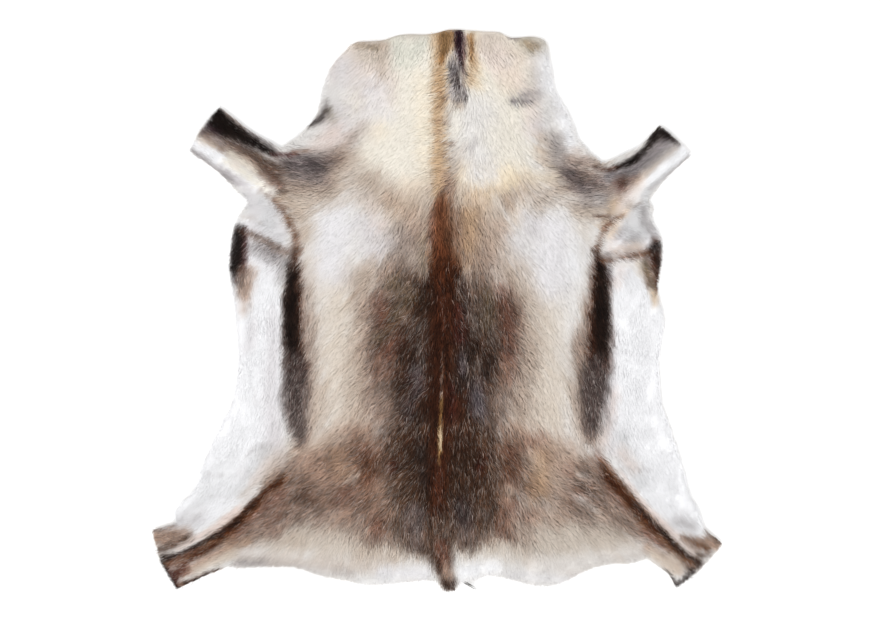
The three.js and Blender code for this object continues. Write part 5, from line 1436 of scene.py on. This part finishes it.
def guard_hair():
    """Satin winter hair in the coat's colours, streaked lengthwise by fine single hairs."""
    material, nodes, links, surface = new_material("guard hair")
    colour = nodes.new("ShaderNodeAttribute")
    colour.attribute_name = "coat colour"
    place = nodes.new("ShaderNodeTexCoord")
    hairs = set_inputs(nodes.new("ShaderNodeTexNoise"), Scale=1400, Detail=2)
    streaks = set_inputs(nodes.new("ShaderNodeMapRange"), To_Min=0.90, To_Max=1.08)
    tinted = nodes.new("ShaderNodeVectorMath")
    tinted.operation = "SCALE"
    links.new(place.outputs["Object"], hairs.inputs["Vector"])
    links.new(hairs.outputs["Fac"], streaks.inputs["Value"])
    links.new(colour.outputs["Color"], tinted.inputs[0])
    links.new(streaks.outputs["Result"], tinted.inputs["Scale"])
    links.new(tinted.outputs["Vector"], surface.inputs["Base Color"])
    set_inputs(surface, Roughness=0.62, Specular_IOR_Level=0.06)
    return material


strands = combed(0.0016, 0.013, 31)  # strokes of hair that lie together
clumps = combed(0.005, 0.022, 32)  # tufts
swirl = combed(0.014, 0.030, 33)  # slow turns of the lie
hair_material = guard_hair()
root_x, root_y = lock_roots()
lock_rows = locks(root_x, root_y)
lock_colours = lock_shades(root_x, root_y, lock_rows)
by_length = np.argsort(-root_y)
for name, chosen in zip(bands, np.array_split(by_length, len(bands))):
    piece = hair_mesh(name, lock_rows[chosen[:most_locks]], lock_colours[chosen[:most_locks]])
    piece.data.materials.append(hair_material)
    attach(piece, "root")


# ------------------------------------------------------------------ the stray hairs
# Single long guard hairs that the comb has missed. They stick out past the cut edge all round, and one
# wisp of dark hair has come loose beside the tail.

stray_zone = 0.007  # they grow no further from the cut edge than this
stray_share = 0.045  # share of the locks there that have one
stray_turn = (0.35, 1.1)  # how far they turn from the lie towards the cut edge, 1 being half of the way
stray_scatter = 0.22
stray_length = (0.007, 0.017)
stray_radius = 0.00028
stray_bend = 0.75  # height at the bend, as a share of the coat's depth
stray_tip = (0.3, 0.9)  # and at the tip
stray_shade = 0.80  # of the light that the coat reflects beside it
wisp_hairs = 7
wisp_root, wisp_tip = (0.0445, -0.5660), (0.0850, -0.5895)
wisp_spread = 0.0016
wisp_radius = 0.00062
wisp_colour = (104, 102, 98)


def stray_places():
    """Where the stray hairs and the wisp's hairs start, where they end and how thick they are. A stray
    hair turns partway from the lie of the coat towards the cut edge."""
    near = (look_up(depth, root_x, root_y) < stray_zone) & (draws.random(len(root_x)) < stray_share)
    start = np.stack([root_x[near], root_y[near]], 1)
    turned = draws.uniform(*stray_turn, len(start))[:, None]
    heading = look_up(lie, *start.T) - look_up(inward, *start.T) * turned
    heading += draws.normal(0, stray_scatter, heading.shape)
    heading /= np.linalg.norm(heading, axis=1, keepdims=True)
    end = start + heading * draws.uniform(*stray_length, len(start))[:, None]
    wisp = [np.array(place) + draws.normal(0, wisp_spread, (wisp_hairs, 2))
            for place in (wisp_root, wisp_tip)]
    radius = np.repeat((stray_radius, wisp_radius), (len(start), wisp_hairs))
    return np.concatenate([start, wisp[0]]), np.concatenate([end, wisp[1]]), radius


stray_start, stray_end, stray_thickness = stray_places()
stray_along = stray_end - stray_start
stray_reach = np.linalg.norm(stray_along, axis=1)
stray_along /= stray_reach[:, None]
stray_ground = skin_topside(*stray_start.T)
stray_room = look_up(coat_top, *stray_start.T) - stray_ground
stray_rise = np.stack([stray_room * stray_bend, stray_room * draws.uniform(*stray_tip, len(stray_room))], 1)
stray_rows = spindles(stray_start, stray_along, stray_reach, stray_ground, stray_rise, stray_thickness)
stray_hue = look_up(coat_colours, *stray_start.T)
stray_hue[-wisp_hairs:] = wisp_colour
stray_shades = np.repeat(reflected(stray_hue, stray_shade)[:, None], 5, axis=1)
stray_hairs = hair_mesh("stray_hairs", stray_rows, stray_shades)
stray_hairs.data.materials.append(hair_material)
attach(stray_hairs, "root")


# ------------------------------------------------------------------ floor and light
# A plain white floor in even studio light, so bright that the floor reads as pure white.

floor_half = 6.0
floor_level = -0.001
floor_white = (0.96, 0.96, 0.96, 1)
sky_light = 1.12
sun_light = 1.15
sun_width = 0.6  # radians
sun_turn = (0.55, -0.35, 0.0)

floor_mesh = bpy.data.meshes.new("floor")
floor_corners = [(x * floor_half, y * floor_half, floor_level)
                 for x, y in ((-1, -1), (1, -1), (1, 1), (-1, 1))]
floor_mesh.from_pydata(floor_corners, [], [(0, 1, 2, 3)])
floor = in_scene("floor", floor_mesh)
floor_material, _, _, floor_surface = new_material("white floor")
set_inputs(floor_surface, Base_Color=floor_white, Roughness=0.9, Specular_IOR_Level=0.1)
floor_mesh.materials.append(floor_material)

world = bpy.data.worlds.new("studio")
world.use_nodes = True
set_inputs(world.node_tree.nodes["Background"], Color=(1, 1, 1, 1), Strength=sky_light)
bpy.context.scene.world = world

sun_data = bpy.data.lights.new("key", "SUN")
sun_data.energy = sun_light
sun_data.angle = sun_width
sun = in_scene("key", sun_data)
sun.rotation_euler = sun_turn
